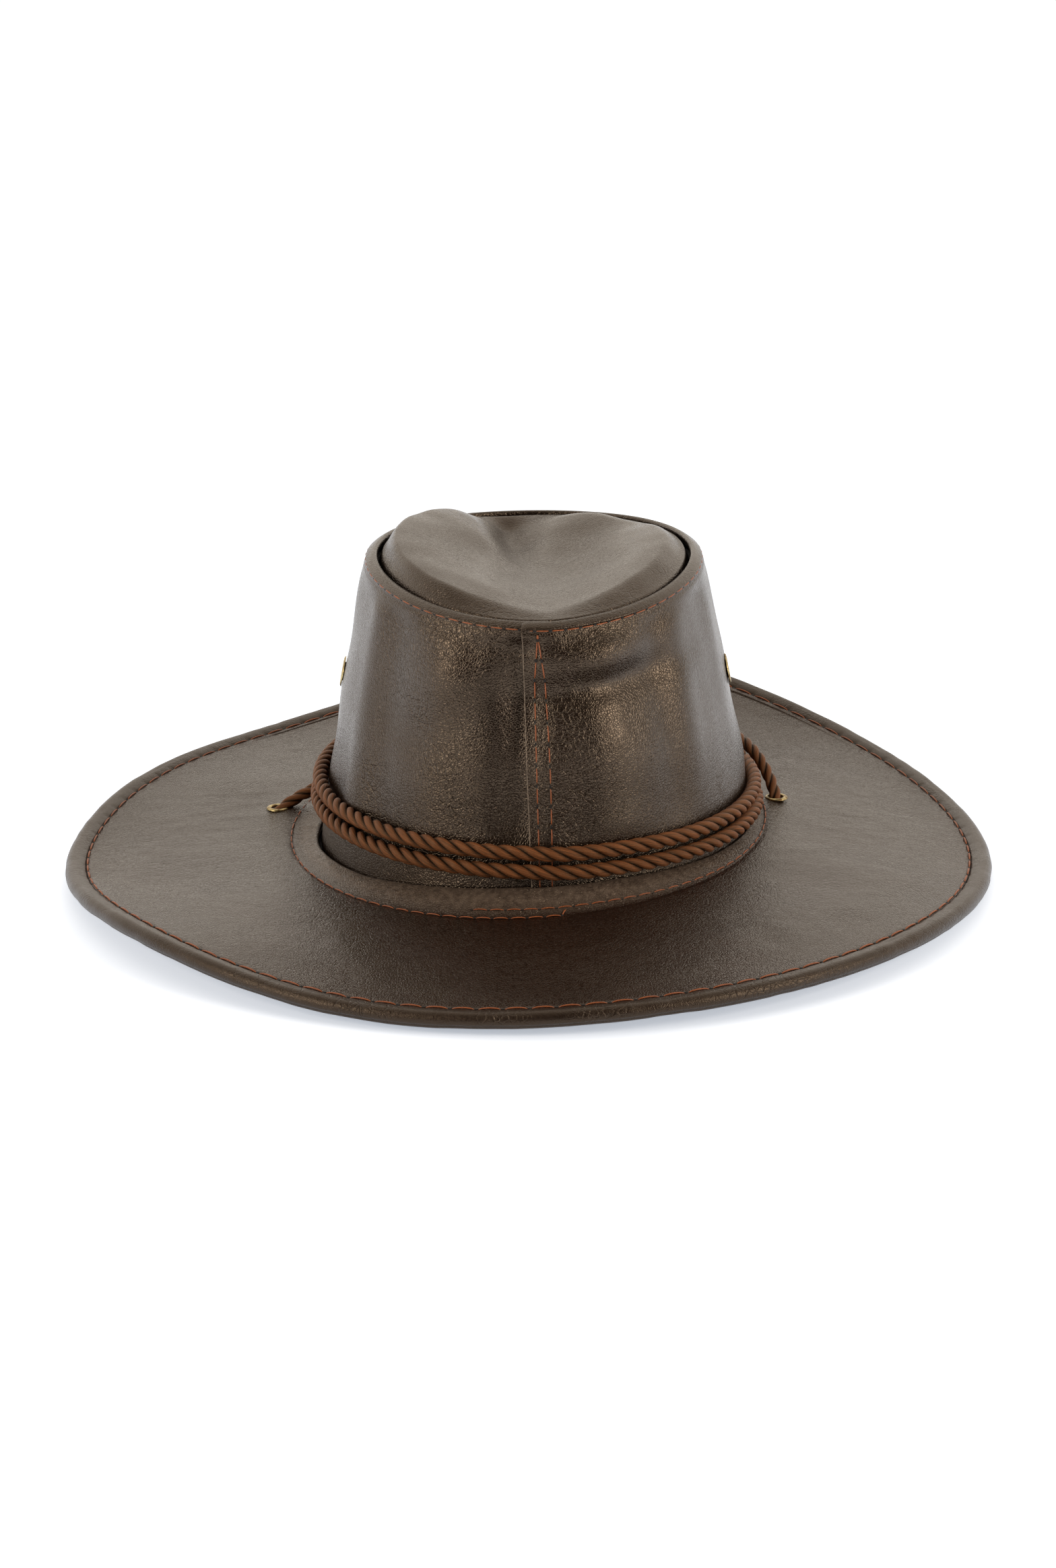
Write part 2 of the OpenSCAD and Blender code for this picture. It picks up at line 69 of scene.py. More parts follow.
RISE_AT, RISE_SPREAD, RISE_LEFT = -84, 50, 1.28
# Waves round the hat as (order, cosine, sine), in millimetres
EDGE_WAVES = [(0, -2.5, 0), (1, 0.5, 7.5), (2, -6.5, 2.5), (3, -2.5, -4.5), (4, 0, -1), (5, 1.5, 1),
              (6, -1, 0)]
RING_WAVES = [(1, 4, 2.5), (2, -0.5, 0)]
LAP_START, LAP_LEAN, LAP_WIDTH, LAP_FADE = -91, 3.3, 9, 14
LAP_STEP = CROWN_LEATHER + 0.1 * MM
TIP = (CROWN_TOP[0] - RIDGE_W - 0.4 * MM, CROWN_TOP[1] - RIDGE_W - 0.4 * MM)
# Heights of the top panel's raised shoulder as (angle, millimetres)
TIP_CREST = [(0, 6.5), (20, 6.2), (40, 4), (60, 2.2), (78, 2), (95, -3.5), (108, -1), (122, 6), (138, 9.5),
             (155, 9.7), (172, 9.5), (190, 9), (210, 8.2), (230, 7.3), (248, 5.2), (262, 1.5), (275, -0.5),
             (288, 2), (304, 5), (322, 6.5), (340, 6.5)]
# The wall's upright folds as (angle, millimetres, spread, v where it starts, v where it is full)
WALL_FOLDS = [(-150, 1.5, 6, -1, 0), (-138, -1.3, 6, -1, 0), (-120, 1.3, 8, -1, 0),
              (-95, -3.2, 6.5, 0.1, 0.35), (-79, -0.45, 4, 0.7, 0.5), (-69, 1.3, 8, -1, 0),
              (-50, -1.2, 5, 0.2, 0.5), (-40, 0.9, 6, -1, 0), (-20, -0.8, 6, -1, 0)]
# The crease across the wall as (v over the crease's line, millimetres, spread), and the softer dents
# beside the seam as (angle, v, millimetres, spread in degrees, spread in v)
CREASE_AT, CREASE_SPREAD, CREASE_V, CREASE_TILT = -66, 24, 0.77, 0.0003
CREASE_BANDS = [(0.11, 1.6, 0.055), (-0.005, -3.4, 0.055), (-0.24, 3.0, 0.15)]
WALL_DENTS = [(-116, 0.8, 2.2, 9, 0.13), (-128, 0.55, -1.0, 9, 0.1)]
# Sections beside the wall's top edge and the rolled edge as (out, up), in millimetres
RIM_RIDGE = [(-0.12, -2.7), (0.05, -2.45), (0.3, -2.2), (0.15, -1.85), (-0.5, -1.35), (-1.3, -0.8),
             (-2.2, -0.3), (-3.2, 0.08), (-4.2, -0.15), (-4.6, -0.9), (-4.4, -2.6), (-3.0, -4.4)]
TOP_GROOVE = [(-9.5, 0), (-8.4, 0), (-7.4, 0), (-6.8, -0.03), (-6.2, -0.12), (-5.6, -0.28), (-5.25, -0.5),
              (-5.05, -0.8), (-4.9, -1.0), (-4.3, -1.15), (-2.9, -1.3)]
UNDER_GROOVE = [(-5.6, 0.2), (-5.25, 0.4), (-5.05, 0.7), (-4.9, 1.0), (-2.9, 1.3)]
HEM_TOP = [(-5.15, 1.0), (-4.9, 1.75), (-4.4, 2.15), (-3.7, 2.5), (-2.9, 2.8), (-2.1, 3.02), (-1.3, 3.16)]
HEM_LOW = [(-1.3, -3.12), (-2.1, -2.92), (-2.9, -2.62), (-3.7, -2.3), (-4.4, -2), (-4.9, -1.75), (-5.15, -1)]
# Where the leathers' hidden faces have points: s on the brim, and how far out and up they end
SKIN_ROWS, SKIN_REACH, SKIN_EDGE = np.array([[0, 0.3, 0.6, 0.9]]), -2.9 * MM, 0.25 * MM
BOARD_HALF, TAPE_T = 0.62 * MM, 0.55 * MM
LINING_IN = 2.7 * MM
SWEAT_IN, SWEAT_T, SWEAT_H = 3.7 * MM, 1 * MM, 32 * MM

BAND_D, BAND_PITCH, BAND_LOW = 6 * MM, 7.2 * MM, 8.9 * MM
BAND_START, BAND_TURN, BAND_STEP = 150, 828, 9
CHIN_D = 5 * MM
# How far the strands run for one turn, the strands themselves, and where the cord grows thicker
BAND_LEAD, CHIN_LEAD, KNOT_LEAD = 20 * MM, 17.5 * MM, 15 * MM
STRAND_SHARE, STRAND_SIDES = 0.237, 13
THICKENING = np.array([-30, 30]) * MM
# The chin cord's two halves, from the hat cord's ends to the knot, in millimetres
LEFT_ROUTE = [(-82, 49, 20.5), (-89, 44, 18.5), (-96, 41, 15.5), (-101, 39, 12.5), (-104, 37.5, 9.5),
              (-107, 35, 6), (-109.5, 30.5, 3.6), (-111, 24, 2.7), (-110, 14, 2.7), (-106, 3, 2.7),
              (-98, -8, 2.7), (-88, -18, 2.7), (-77, -27, 2.7), (-65, -32, 2.7), (-54, -30, 2.7),
              (-47, -21, 2.7), (-45, -9, 2.7), (-47, 4, 2.7), (-49, 17, 2.7), (-49, 30, 2.7),
              (-46, 43, 2.7), (-40, 54, 2.7), (-31, 62, 2.7), (-20, 65, 2.8), (-10, 61, 3.3),
              (-4, 52, 3.9), (-1.5, 41, 4.4), (-1, 29, 4.4), (-1, 17, 4.4), (-1, 5, 4.4), (-1, -7, 4.4),
              (-1, -19, 4.4), (-1, -31, 4.4), (-1, -43, 4.4), (-1, -54, 4.6)]
RIGHT_ROUTE = [(77, 69, 38.5), (84, 59, 37.5), (90, 48.5, 36), (94.5, 40.5, 33), (98, 34, 28.5),
               (100.5, 28.5, 23.5), (102, 24.5, 18.5), (103.5, 20.5, 14), (105.5, 15.5, 9.5),
               (107.5, 9.5, 5.8), (108.5, 2.5, 3.4), (107, -6, 2.7), (101, -16, 2.7), (92, -25, 2.7),
               (82, -32, 2.7), (70, -35, 2.7), (60, -31, 2.7), (54, -22, 2.7), (52, -10, 2.7),
               (53, 3, 2.7), (55, 16, 2.7), (55, 29, 2.7), (52, 42, 2.7), (46, 53, 2.7), (37, 61, 2.7),
               (26, 65, 2.8), (16, 61, 3.3), (10, 52, 3.9), (7.5, 41, 4.4), (7, 29, 4.4), (7, 17, 4.4),
               (7, 5, 4.4), (7, -7, 4.4), (7, -19, 4.4), (7, -31, 4.4), (7, -43, 4.4), (7, -54, 4.6)]
RUN_X, RUN_HALF, RUN_Z = 3 * MM, 4 * MM, 4.4 * MM
SLIDER_Y, SLIDER_R, SLIDER_L, SLIDER_BORE = -38 * MM, 4.2 * MM, 16 * MM, 2.85 * MM
KNOT_Y, KNOT_R, KNOT_L, KNOT_CORD_D = -56 * MM, 6 * MM, 12 * MM, 4.4 * MM
TAIL_L, WHIPPING_L, WHIPPING_PITCH = 18 * MM, 3.4 * MM, 0.5 * MM
TUFT_FILAMENTS, FILAMENT_R = 70, 0.2 * MM

# Eyelets on the brim as (angle, s), and their sizes
LEFT_EYELET, RIGHT_EYELET = (166, 0.12), (8, 0.075)
BRIM_BORE, BRIM_FLANGE = 2.8 * MM, 4.8 * MM
VENT_BORE, VENT_FLANGE, VENT_H, VENT_TILT = 3.4 * MM, 6.2 * MM, 65 * MM, 11
EYELET_WALL, WASHER_H, SEAT_GAP = 0.4 * MM, 0.5 * MM, 0.25 * MM

SEAM_PITCH, SEAM_FROM, SEAM_TOP_V = 8 * MM, 10 * MM, 0.965
# The seam's two rows as (degrees past the raw edge below, the same above, bow, step to where they meet)
SEAM_ROWS = [(2.0, 3.8, 0, 1.2), (4.7, 6.4, 1.0, -1.4)]
TOP_STITCHES, TOP_STITCH_DOWN = 72, 2.3 * MM
EDGE_STITCHES, EDGE_STITCH_IN = 116, 5.6 * MM
EDGE_PITCH = TAU / EDGE_STITCHES
# The ring's row starts nearer the crown, goes round outside that and overlaps its own start
RING_STITCHES, RING_FROM, RING_TURN = 96, -104, 381.5
SWEAT_STITCHES, SWEAT_STITCH_UP = 84, 4 * MM
HOLE_R = 0.55 * MM


# --- Formulas of the hat's shape ---------------------------------------------------------------
def mix(p, q, f):
    return p * (1 - f) + q * f


def wave(waves, a):
    """The sum of the waves at the angle a, in radians."""
    return sum(c * np.cos(n * a) + s * np.sin(n * a) for n, c, s in waves) * MM


def bell(x, at, wide):
    """1 where x is at that place, and less and less on both sides of it."""
    return np.exp(-(((x - at) / wide) ** 2))


def turned(a, at):
    """Degrees from the angle at, in degrees, round to a, in radians: from -180 to 180."""
    return (np.degrees(a) - at + 540) % 360 - 180


def near(a, at, spread):
    """1 at the angle at, in degrees, and less and less beside it."""
    return bell(turned(a, at), 0, spread)


def ease(x, low, high):
    """0 at low and 1 at high, with a soft start and end; low may be the larger one."""
    t = np.clip((x - low) / (high - low), 0, 1)
    return t * t * (3 - 2 * t)


def unit(vectors):
    """The vectors with a length of 1, over the last axis."""
    return vectors / np.linalg.norm(vectors, axis=-1, keepdims=True)


def ripples(points, length, seed):
    """A smooth random field whose bumps are about that long, with a spread of about 1."""
    rng, count = np.random.default_rng(seed), 18
    waves = unit(rng.normal(size=(count, 3))) * rng.uniform(0.6, 1.4, (count, 1)) * TAU / length
    return np.sin(points @ waves.T + rng.uniform(0, TAU, count)).sum(-1) * math.sqrt(2 / count)


ROUND = np.radians(np.arange(60) * 6)
BASE_Z = ROLL_R - wave(EDGE_WAVES, ROUND).min()


def points_of(x, y, z):
    return np.stack(np.broadcast_arrays(x, y, z), -1)


def ring_z(a):
    return BASE_Z + wave(RING_WAVES, a)


def edge_z(a):
    return BASE_Z + wave(EDGE_WAVES, a)


def brim_point(a, s, up=0.0):
    """The brim's middle surface: s = 0 on the stitched ring, s = 1 on the rolled edge's centre."""
    x = mix(RING[0], ROLL[0], s) * np.cos(a)
    y = mix(RING_CY, 0, s) + mix(RING[1], ROLL[1], s) * np.sin(a)
    return points_of(x, y, mix(ring_z(a), edge_z(a), s) + up)


def opening_rise(a):
    """How far the sloping leather stands up along the crown's foot, most at the back."""
    past = turned(a, RISE_AT)
    return FLANGE_RISE * bell(past, 0, np.where(past < 0, RISE_LEFT, 1) * RISE_SPREAD)


def opening_point(a, off):
    """A point that far outside the crown's foot, at the height of the stitched ring."""
    x = CROWN_CENTRE[0] + (CROWN_BASE[0] + off) * np.cos(a)
    y = CROWN_CENTRE[1] + (CROWN_BASE[1] + off) * np.sin(a)
    return points_of(x, y, ring_z(a))


def flange_point(a, t, gap, up):
    """The sloping leather from the opening's edge, t = 0, out to the stitched ring, t = 1."""
    inner, ring = opening_point(a, gap), brim_point(a, 0.0)
    place = inner * (1 - t[..., None]) + ring * t[..., None]
    place[..., 2] += opening_rise(a) * (1 - np.minimum(1, t / 0.86) ** 1.15) + up
    return place


def edge_point(a, out, up):
    """A point beside the rolled edge's centre line; inwards it climbs or sinks with the brim."""
    inward = np.maximum(-out, 0) / (ROLL[0] - RING[0]) * (ring_z(a) - edge_z(a))
    return points_of((ROLL[0] + out) * np.cos(a), (ROLL[1] + out) * np.sin(a), edge_z(a) + inward + up)


def lap_off(past):
    """Outward step of the lap's outer leather, that many degrees past its raw edge."""
    return LAP_STEP * np.maximum(0, 1 - np.maximum(0, past - LAP_WIDTH) / LAP_FADE)


def lap_at(a, v=0.0):
    return lap_off((np.degrees(a) - LAP_START + LAP_LEAN * v + 720) % 360)


def wall_top_z(a):
    return BASE_Z + CROWN_H + CROWN_FRONT_RISE * np.sin(a) + CROWN_SIDE_RISE * np.cos(2 * a)


def wall_z(a, v):
    return mix(ring_z(a) - BRIM_FACE, wall_top_z(a), v)


def wall_point(a, v, off, up=0.0):
    """The crown's wall: v = 0 at its bottom edge and v = 1 at the rim ridge."""
    narrowing = np.maximum(v, 0) ** WALL_TAPER
    x = CROWN_CENTRE[0] + (mix(CROWN_BASE[0], CROWN_TOP[0], narrowing) + off) * np.cos(a)
    y = CROWN_CENTRE[1] + (mix(CROWN_BASE[1], CROWN_TOP[1], narrowing) + off) * np.sin(a)
    return points_of(x, y, wall_z(a, v) + up)


def wall_v(a, height):
    """The v of the wall at that height over the hat's base."""
    return (BASE_Z + height - wall_z(a, 0)) / (wall_top_z(a) - wall_z(a, 0))


def wall_relief(a, v):
    """How far the soft leather of the wall stands out of its plain cone."""
    body = ease(v, 0.12, 0.3) * ease(v, 0.97, 0.9)
    folds = sum(high * near(a, at, wide) * ease(v, start, full) for at, high, wide, start, full in WALL_FOLDS)
    crease_v = CREASE_V + CREASE_TILT * turned(a, -62)
    bands = sum(high * bell(v, crease_v + over, tall) for over, high, tall in CREASE_BANDS)
    dents = sum(high * near(a, at, wide) * bell(v, at_v, tall) for at, at_v, high, wide, tall in WALL_DENTS)
    waves = 0.5 * np.sin(5 * a + 0.4) + 0.35 * ripples(wall_point(a, v, 0.0), 0.042, 3)
    return (folds + bands * near(a, CREASE_AT, CREASE_SPREAD) + dents + waves) * body * MM


def smooth_ring(a, knots, spread):
    """A smooth curve round the hat that passes near the (angle, value) knots."""
    shares = [near(a, at, spread) for at, _ in knots]
    return sum(share * value for share, (_, value) in zip(shares, knots)) / sum(shares)


def tip_shape(a, r):
    """The sculpted top panel over its plain surface: a raised shoulder, a pinch and a long bowl."""
    at = 0.8 + 0.07 * near(a, -150, 45)
    crest = smooth_ring(a, TIP_CREST, 15) * ease(r / at, 0.12, 1) * ease(r, 1, at + 0.03)
    u, w = r * np.cos(a), r * np.sin(a)
    bowl = -7.0 * bell(u, 0.15, 0.42) * bell(w, 0.02, 0.66) * ease(r, 1, 0.75)
    pinch = -5.5 * bell(u + 0.12 * w, -0.08, 0.13) * bell(w, 0.6, 0.4)
    front = 2.2 * bell(u, 0.36, 0.26) * bell(w, 0.76, 0.18)
    return MM * (crest + bowl + (pinch + front) * ease(r, 1, 0.87))


def tip_point(a, r, up=0.0):
    """The top panel: r = 0 in its middle and r = 1 down in the gap inside the rim ridge."""
    level = mix(BASE_Z + CROWN_H, wall_top_z(a), r * r)
    puff = -0.9 * MM - 3.4 * MM * ease(r, 0.972, 1.0)
    return points_of(CROWN_CENTRE[0] + TIP[0] * r * np.cos(a), CROWN_CENTRE[1] + TIP[1] * r * np.sin(a),
                     level + puff + tip_shape(a, r) + up)


# --- Mesh building -----------------------------------------------------------------------------
def grid_faces(rows, columns, ring_rows=False, ring_columns=False):
    """The quads of a grid of points that are stored row by row."""
    r, c = np.meshgrid(np.arange(rows if ring_rows else rows - 1),
                       np.arange(columns if ring_columns else columns - 1), indexing="ij")
    r2, c2 = (r + 1) % rows, (c + 1) % columns
    quads = np.stack([r * columns + c, r * columns + c2, r2 * columns + c2, r2 * columns + c], -1)
    return quads.reshape(-1, 4)


def new_piece(name, points, faces, material, slot, replaces=(), attributes=None, body="hat"):
    """A smooth-shaded piece that rides on a body. faces is a list of arrays of quads or triangles."""
    points = np.asarray(points, float).reshape(-1, 3)
    mesh = bpy.data.meshes.new(name)
    mesh.vertices.add(len(points))
    mesh.vertices.foreach_set("co", points.ravel())
    corners = np.concatenate([f.ravel() for f in faces])
    sizes = np.concatenate([np.full(len(f), f.shape[1]) for f in faces])
    mesh.loops.add(len(corners))
    mesh.loops.foreach_set("vertex_index", corners.astype(np.int32))
    mesh.polygons.add(len(sizes))
    mesh.polygons.foreach_set("loop_start", (np.cumsum(sizes) - sizes).astype(np.int32))
    mesh.update(calc_edges=True)
    mesh.validate()
    made = bmesh.new()
    made.from_mesh(mesh)
    bmesh.ops.recalc_face_normals(made, faces=made.faces)
    made.to_mesh(mesh)
    made.free()
    for key, values in (attributes or {}).items():
        data = mesh.attributes.new(key, "FLOAT", "POINT").data
        data.foreach_set("value", np.ravel(values).astype(np.float32))
    mesh.polygons.foreach_set("use_smooth", np.ones(len(mesh.polygons), bool))
    mesh.materials.append(material)
    piece = bpy.data.objects.new(name, mesh)
    bpy.context.scene.collection.objects.link(piece)
    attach(piece, body)
    if replaces:
        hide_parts(*replaces)
    return piece


def closed(face, back):
    """Closed sections from the parts of a face and the parts of its back, both listed outwards."""
    return np.concatenate([*face, np.concatenate(back, 1)[:, ::-1]], 1)


def ring_piece(name, sections, *kept):
    """A closed band round the hat from closed sections, as an array of (round, section, 3)."""
    rows, columns = sections.shape[:2]
    new_piece(name, sections, [grid_faces(rows, columns, True, True)], *kept)


def capped_tube(rings):
    """Points and faces of a tube of closed rings, whose ends are fans round two points added last."""
    rows, columns = rings.shape[:2]
    quads = grid_faces(rows, columns, False, True)
    n = rows * columns
    k = np.arange(columns)
    start = np.stack([np.full(columns, n), (k + 1) % columns, k], -1)
    end = np.stack([np.full(columns, n + 1), n - columns + k, n - columns + (k + 1) % columns], -1)
    points = np.concatenate([rings.reshape(-1, 3), rings[0].mean(0)[None], rings[-1].mean(0)[None]])
    return points, [quads, np.concatenate([start, end])]


def joined(parts):
    """One list of points and faces from several (points, faces) pairs, each numbered from 0."""
    points, quads, triangles, first = [], [], [], 0
    for part_points, part_faces in parts:
        points.append(part_points)
        for f in part_faces:
            (quads if f.shape[1] == 4 else triangles).append(f + first)
        first += len(part_points)
    return np.concatenate(points), [np.concatenate(f) for f in (quads, triangles) if f]


def ring_angles(count):
    return np.arange(count) * TAU / count


def revolved(profile):
    """A closed ring of the closed profile of (radius, height) turned round +Z."""
    steps = 56
    a = ring_angles(steps)
    r, z = np.array(profile).T
    rings = points_of(r[None] * np.cos(a)[:, None], r[None] * np.sin(a)[:, None], z[None])
    return rings.reshape(-1, 3), [grid_faces(steps, len(r), True, True)]


# --- Materials ---------------------------------------------------------------------------------
def put(tree, socket, value):
    """Links a socket to another one, or sets it to a value."""
    if isinstance(value, bpy.types.NodeSocket):
        tree.links.new(value, socket)
    else:
        socket.default_value = value


def add_node(tree, kind, **inputs):
    """A new node, with its inputs given by name as sockets or values."""
    node = tree.nodes.new("ShaderNode" + kind)
    for name, value in inputs.items():
        put(tree, node.inputs[name.replace("_", " ")], value)
    return node


class Shader:
    """A material's node tree, with one short call for each kind of node that the hat needs."""

    def __init__(self, name, colour, roughness, **sockets):
        self.material = bpy.data.materials.new(name)
        self.material.use_nodes = True
        self.tree = self.material.node_tree
        self.bsdf = self.tree.nodes["Principled BSDF"]
        self.bsdf.inputs["Base Color"].default_value = (*colour, 1)
        self.bsdf.inputs["Roughness"].default_value = roughness
        for socket, value in sockets.items():
            self.bsdf.inputs[socket.replace("_", " ")].default_value = value
        self.place = self.tree.nodes.new("ShaderNodeTexCoord").outputs["Object"]

    def node(self, kind, **inputs):
        return add_node(self.tree, kind, **inputs)

    def scaled(self, scale):
        return self.node("Mapping", Vector=self.place, Scale=scale).outputs[0]

    def noise(self, scale, detail=3, rough=0.55, distort=0.0, vector=None):
        return self.node("TexNoise", Vector=vector or self.place, Scale=scale, Detail=detail, Roughness=rough,
                         Distortion=distort).outputs["Fac"]

    def cells(self, scale, vector):
        """The distance to the nearest border between cells."""
        node = self.node("TexVoronoi", Vector=vector, Scale=scale)
        node.feature = "DISTANCE_TO_EDGE"
        return node.outputs["Distance"]

    def math(self, operation, first, second):
        node = self.node("Math")
        node.operation = operation
        put(self.tree, node.inputs[0], first)
        put(self.tree, node.inputs[1], second)
        return node.outputs[0]

    def spread(self, value, low, high, to_low=0.0, to_high=1.0):
        return self.node("MapRange", Value=value, From_Min=low, From_Max=high, To_Min=to_low,
                         To_Max=to_high).outputs[0]

    def blend(self, share, first, second):
        node = self.node("Mix")
        node.data_type = "RGBA"
        put(self.tree, node.inputs["Factor"], share)
        for socket, colour in ((node.inputs[6], first), (node.inputs[7], second)):
            put(self.tree, socket, colour if isinstance(colour, bpy.types.NodeSocket) else (*colour, 1))
        return node.outputs[2]

    def moved(self, amount, scale):
        """The place, pushed about by a noise, so that a pattern made with it isn't regular."""
        push = self.node("TexNoise", Vector=self.place, Scale=scale).outputs["Color"]
        add = self.node("VectorMath")
        add.operation = "MULTIPLY_ADD"
        for socket, value in zip(add.inputs, (push, (amount,) * 3, self.place)):
            put(self.tree, socket, value)
        return add.outputs[0]

    def attribute(self, name):
        node = self.node("Attribute")
        node.attribute_name = name
        return node.outputs["Fac"]

    def bump(self, height, depth, strength):
        """Adds a relief of that depth in metres over the reliefs that are there already."""
        node = self.node("Bump", Strength=strength, Distance=depth, Height=height)
        normal = self.bsdf.inputs["Normal"]
        if normal.links:
            put(self.tree, node.inputs["Normal"], normal.links[0].from_socket)
        put(self.tree, normal, node.outputs[0])

    def colour(self, socket):
        put(self.tree, self.bsdf.inputs["Base Color"], socket)

    def roughness(self, socket):
        put(self.tree, self.bsdf.inputs["Roughness"], socket)


def leather(name, dark, light, worn_and_sheen_tone, roughness, grain=0.62 * MM, depth=0.1 * MM, relief=1.0, gloss=0.75):
    """Pebbled leather: grain cells, fine creases in patches, mottled colour, and a paler tone set per point:
    real rubbing on some pieces, a painted highlight on the brim's flange.
    """
    s = Shader(name, dark, roughness, Specular_IOR_Level=gloss, Specular_Tint=(1.0, 0.76, 0.56, 1.0))
    pebbles = s.spread(s.cells(1 / grain, vector=s.moved(0.9 * MM, 700)), 0.0, 0.2)
    patches = s.spread(s.noise(34, 4), 0.42, 0.62)
    creases = s.spread(s.cells(330, vector=s.moved(5 * MM, 130)), 0.0, 0.1)
    creases = s.blend(patches, (1, 1, 1), creases)
    mottle = s.spread(s.noise(26, 5, 0.6), 0.32, 0.68)
    fine = s.spread(s.noise(900, 3), 0.3, 0.7)
    tone = s.blend(mottle, dark, light)
    pores = s.math("MULTIPLY", pebbles, s.spread(creases, 0, 1, 0.6, 1))
    tone = s.blend(s.spread(pores, 0, 1, 0.6, 0), tone, tuple(c * 0.3 for c in dark))
    # Mask of the paler tone: real rubbing on some pieces, a painted highlight on the brim's flange.
    wear = s.math("MULTIPLY", s.attribute("wear"), s.spread(s.noise(420, 4), 0.35, 0.65, 0.45, 1))
    s.colour(s.blend(wear, tone, worn_and_sheen_tone))
    uneven = s.math("ADD", mottle, s.math("ADD", fine, fine))
    s.roughness(s.spread(uneven, 0, 3, roughness - 0.06, roughness + 0.08))
    s.bump(s.noise(48, 3), 1.4 * MM, 0.4 * relief)
    s.bump(s.noise(300, 4, 0.6, 0.4), 0.3 * MM, 0.25 * relief)
    s.bump(creases, 0.2 * MM, 0.6)
    s.bump(pebbles, depth, 0.8)
    return s.material


def cord_fibre(name, dark, light):
    """Satin twisted cord: fine filaments that run along each strand, with painted shade in the grooves
    between strands.
    """
    s = Shader(name, light, 0.38, Specular_IOR_Level=0.6, Specular_Tint=(1.0, 0.72, 0.45, 1.0))
    fibres = s.node("CombineXYZ", X=s.math("MULTIPLY", s.attribute("across"), 6.0),
                    Y=s.math("MULTIPLY", s.attribute("along"), 90.0),
                    Z=s.math("MULTIPLY", s.attribute("strand"), 7.0))
    threads = s.noise(1.0, 3, 0.6, vector=fibres.outputs[0])
    # Painted shade: the strands' inner sides, down in the grooves, are coloured far darker than their outer
    # sides.
    groove = s.spread(s.attribute("groove"), 0.42, 0.86)
    low, high = [tuple(c * share for c in light) for share in (0.4, 1.4)]
    s.colour(s.blend(groove, dark, s.blend(s.spread(threads, 0.35, 0.65), low, high)))
    s.roughness(s.spread(threads, 0.3, 0.7, 0.42, 0.62))
    s.bump(s.noise(900, 4), 0.1 * MM, 0.25)
    s.bump(threads, 0.4 * MM, 0.9)
    return s.material


def thread_material():
    """Waxed orange-brown sewing thread with a fine ply."""
    s = Shader("waxed_thread", (0.32, 0.085, 0.02), 0.5)
    ply = s.noise(2600, 2)
    s.colour(s.blend(s.spread(ply, 0.35, 0.65), (0.2, 0.045, 0.01), (0.33, 0.09, 0.021)))
    s.bump(ply, 0.1 * MM, 0.5)
    return s.material


def hole_shade_material():
    """Painted shade for the pit of a needle hole: near-black, darker than the leather's own colour."""
    s = Shader("needle_hole_shade", (0.006, 0.004, 0.003), 0.8)
    s.colour(s.blend(s.noise(900, 2), (0.003, 0.002, 0.002), (0.012, 0.008, 0.006)))
    return s.material


def brass_material():
    """Old brass with fine scratches and a brown tarnish in places."""
    s = Shader("old_brass", (0.55, 0.42, 0.18), 0.32, Metallic=1.0)
    tarnish = s.spread(s.noise(420, 4), 0.42, 0.68)
    s.colour(s.blend(tarnish, (0.5, 0.4, 0.2), (0.16, 0.1, 0.045)))
    s.roughness(s.spread(tarnish, 0, 1, 0.26, 0.48))
    s.bump(s.noise(2400, 3), 0.03 * MM, 0.5)
    return s.material


def wood_material():
    """Stained, waxed hardwood with grain along Y."""
    s = Shader("stained_wood", (0.12, 0.045, 0.018), 0.35, Coat_Weight=0.3)
    rings = s.noise(1.0, 5, 0.65, 0.6, vector=s.scaled((900, 70, 900)))
    s.colour(s.blend(s.spread(rings, 0.35, 0.66), (0.05, 0.018, 0.008), (0.17, 0.065, 0.024)))
    s.roughness(s.spread(rings, 0.3, 0.7, 0.3, 0.45))
    s.bump(rings, 0.08 * MM, 0.5)
    return s.material


def woven(name, dark, light, pitch):
    """A close weave: two crossed sets of fine yarns, a little uneven."""
    s = Shader(name, dark, 0.75, Sheen_Weight=0.2)
    yarns = []
    for direction, place in (("DIAGONAL", s.moved(0.3 * MM, 300)), ("Z", s.place)):
        node = s.node("TexWave", Vector=place, Scale=0.31 / pitch)
        node.bands_direction = direction
        yarns.append(node.outputs["Fac"])
    weave = s.math("MAXIMUM", *yarns)
    slubs = s.noise(60, 4)
    s.colour(s.blend(s.math("MULTIPLY", weave, s.spread(slubs, 0.3, 0.7, 0.6, 1)), dark, light))
    s.bump(weave, pitch * 0.3, 0.7)
    return s.material


def board_material():
    """Pressed fibre board of the brim's stiffener."""
    s = Shader("fibre_board", (0.06, 0.045, 0.035), 0.85)
    fibres = s.noise(1.0, 5, 0.7, vector=s.scaled((300, 1200, 800)))
    s.colour(s.blend(s.spread(fibres, 0.35, 0.65), (0.035, 0.025, 0.02), (0.09, 0.07, 0.055)))
    s.bump(fibres, 0.2 * MM, 0.5)
    return s.material


def wire_material():
    """Drawn steel wire."""
    s = Shader("drawn_wire", (0.5, 0.5, 0.52), 0.35, Metallic=1.0)
    s.roughness(s.spread(s.noise(700, 4), 0.3, 0.7, 0.28, 0.5))
    s.bump(s.noise(1500, 2), 0.03 * MM, 0.4)
    return s.material


CROWN_LOOK = leather("crown_leather", (0.0085, 0.0045, 0.0028), (0.0155, 0.0087, 0.0056), (0.17, 0.13, 0.1),
                     0.22, grain=1.0 * MM, depth=0.075 * MM, relief=0.45)
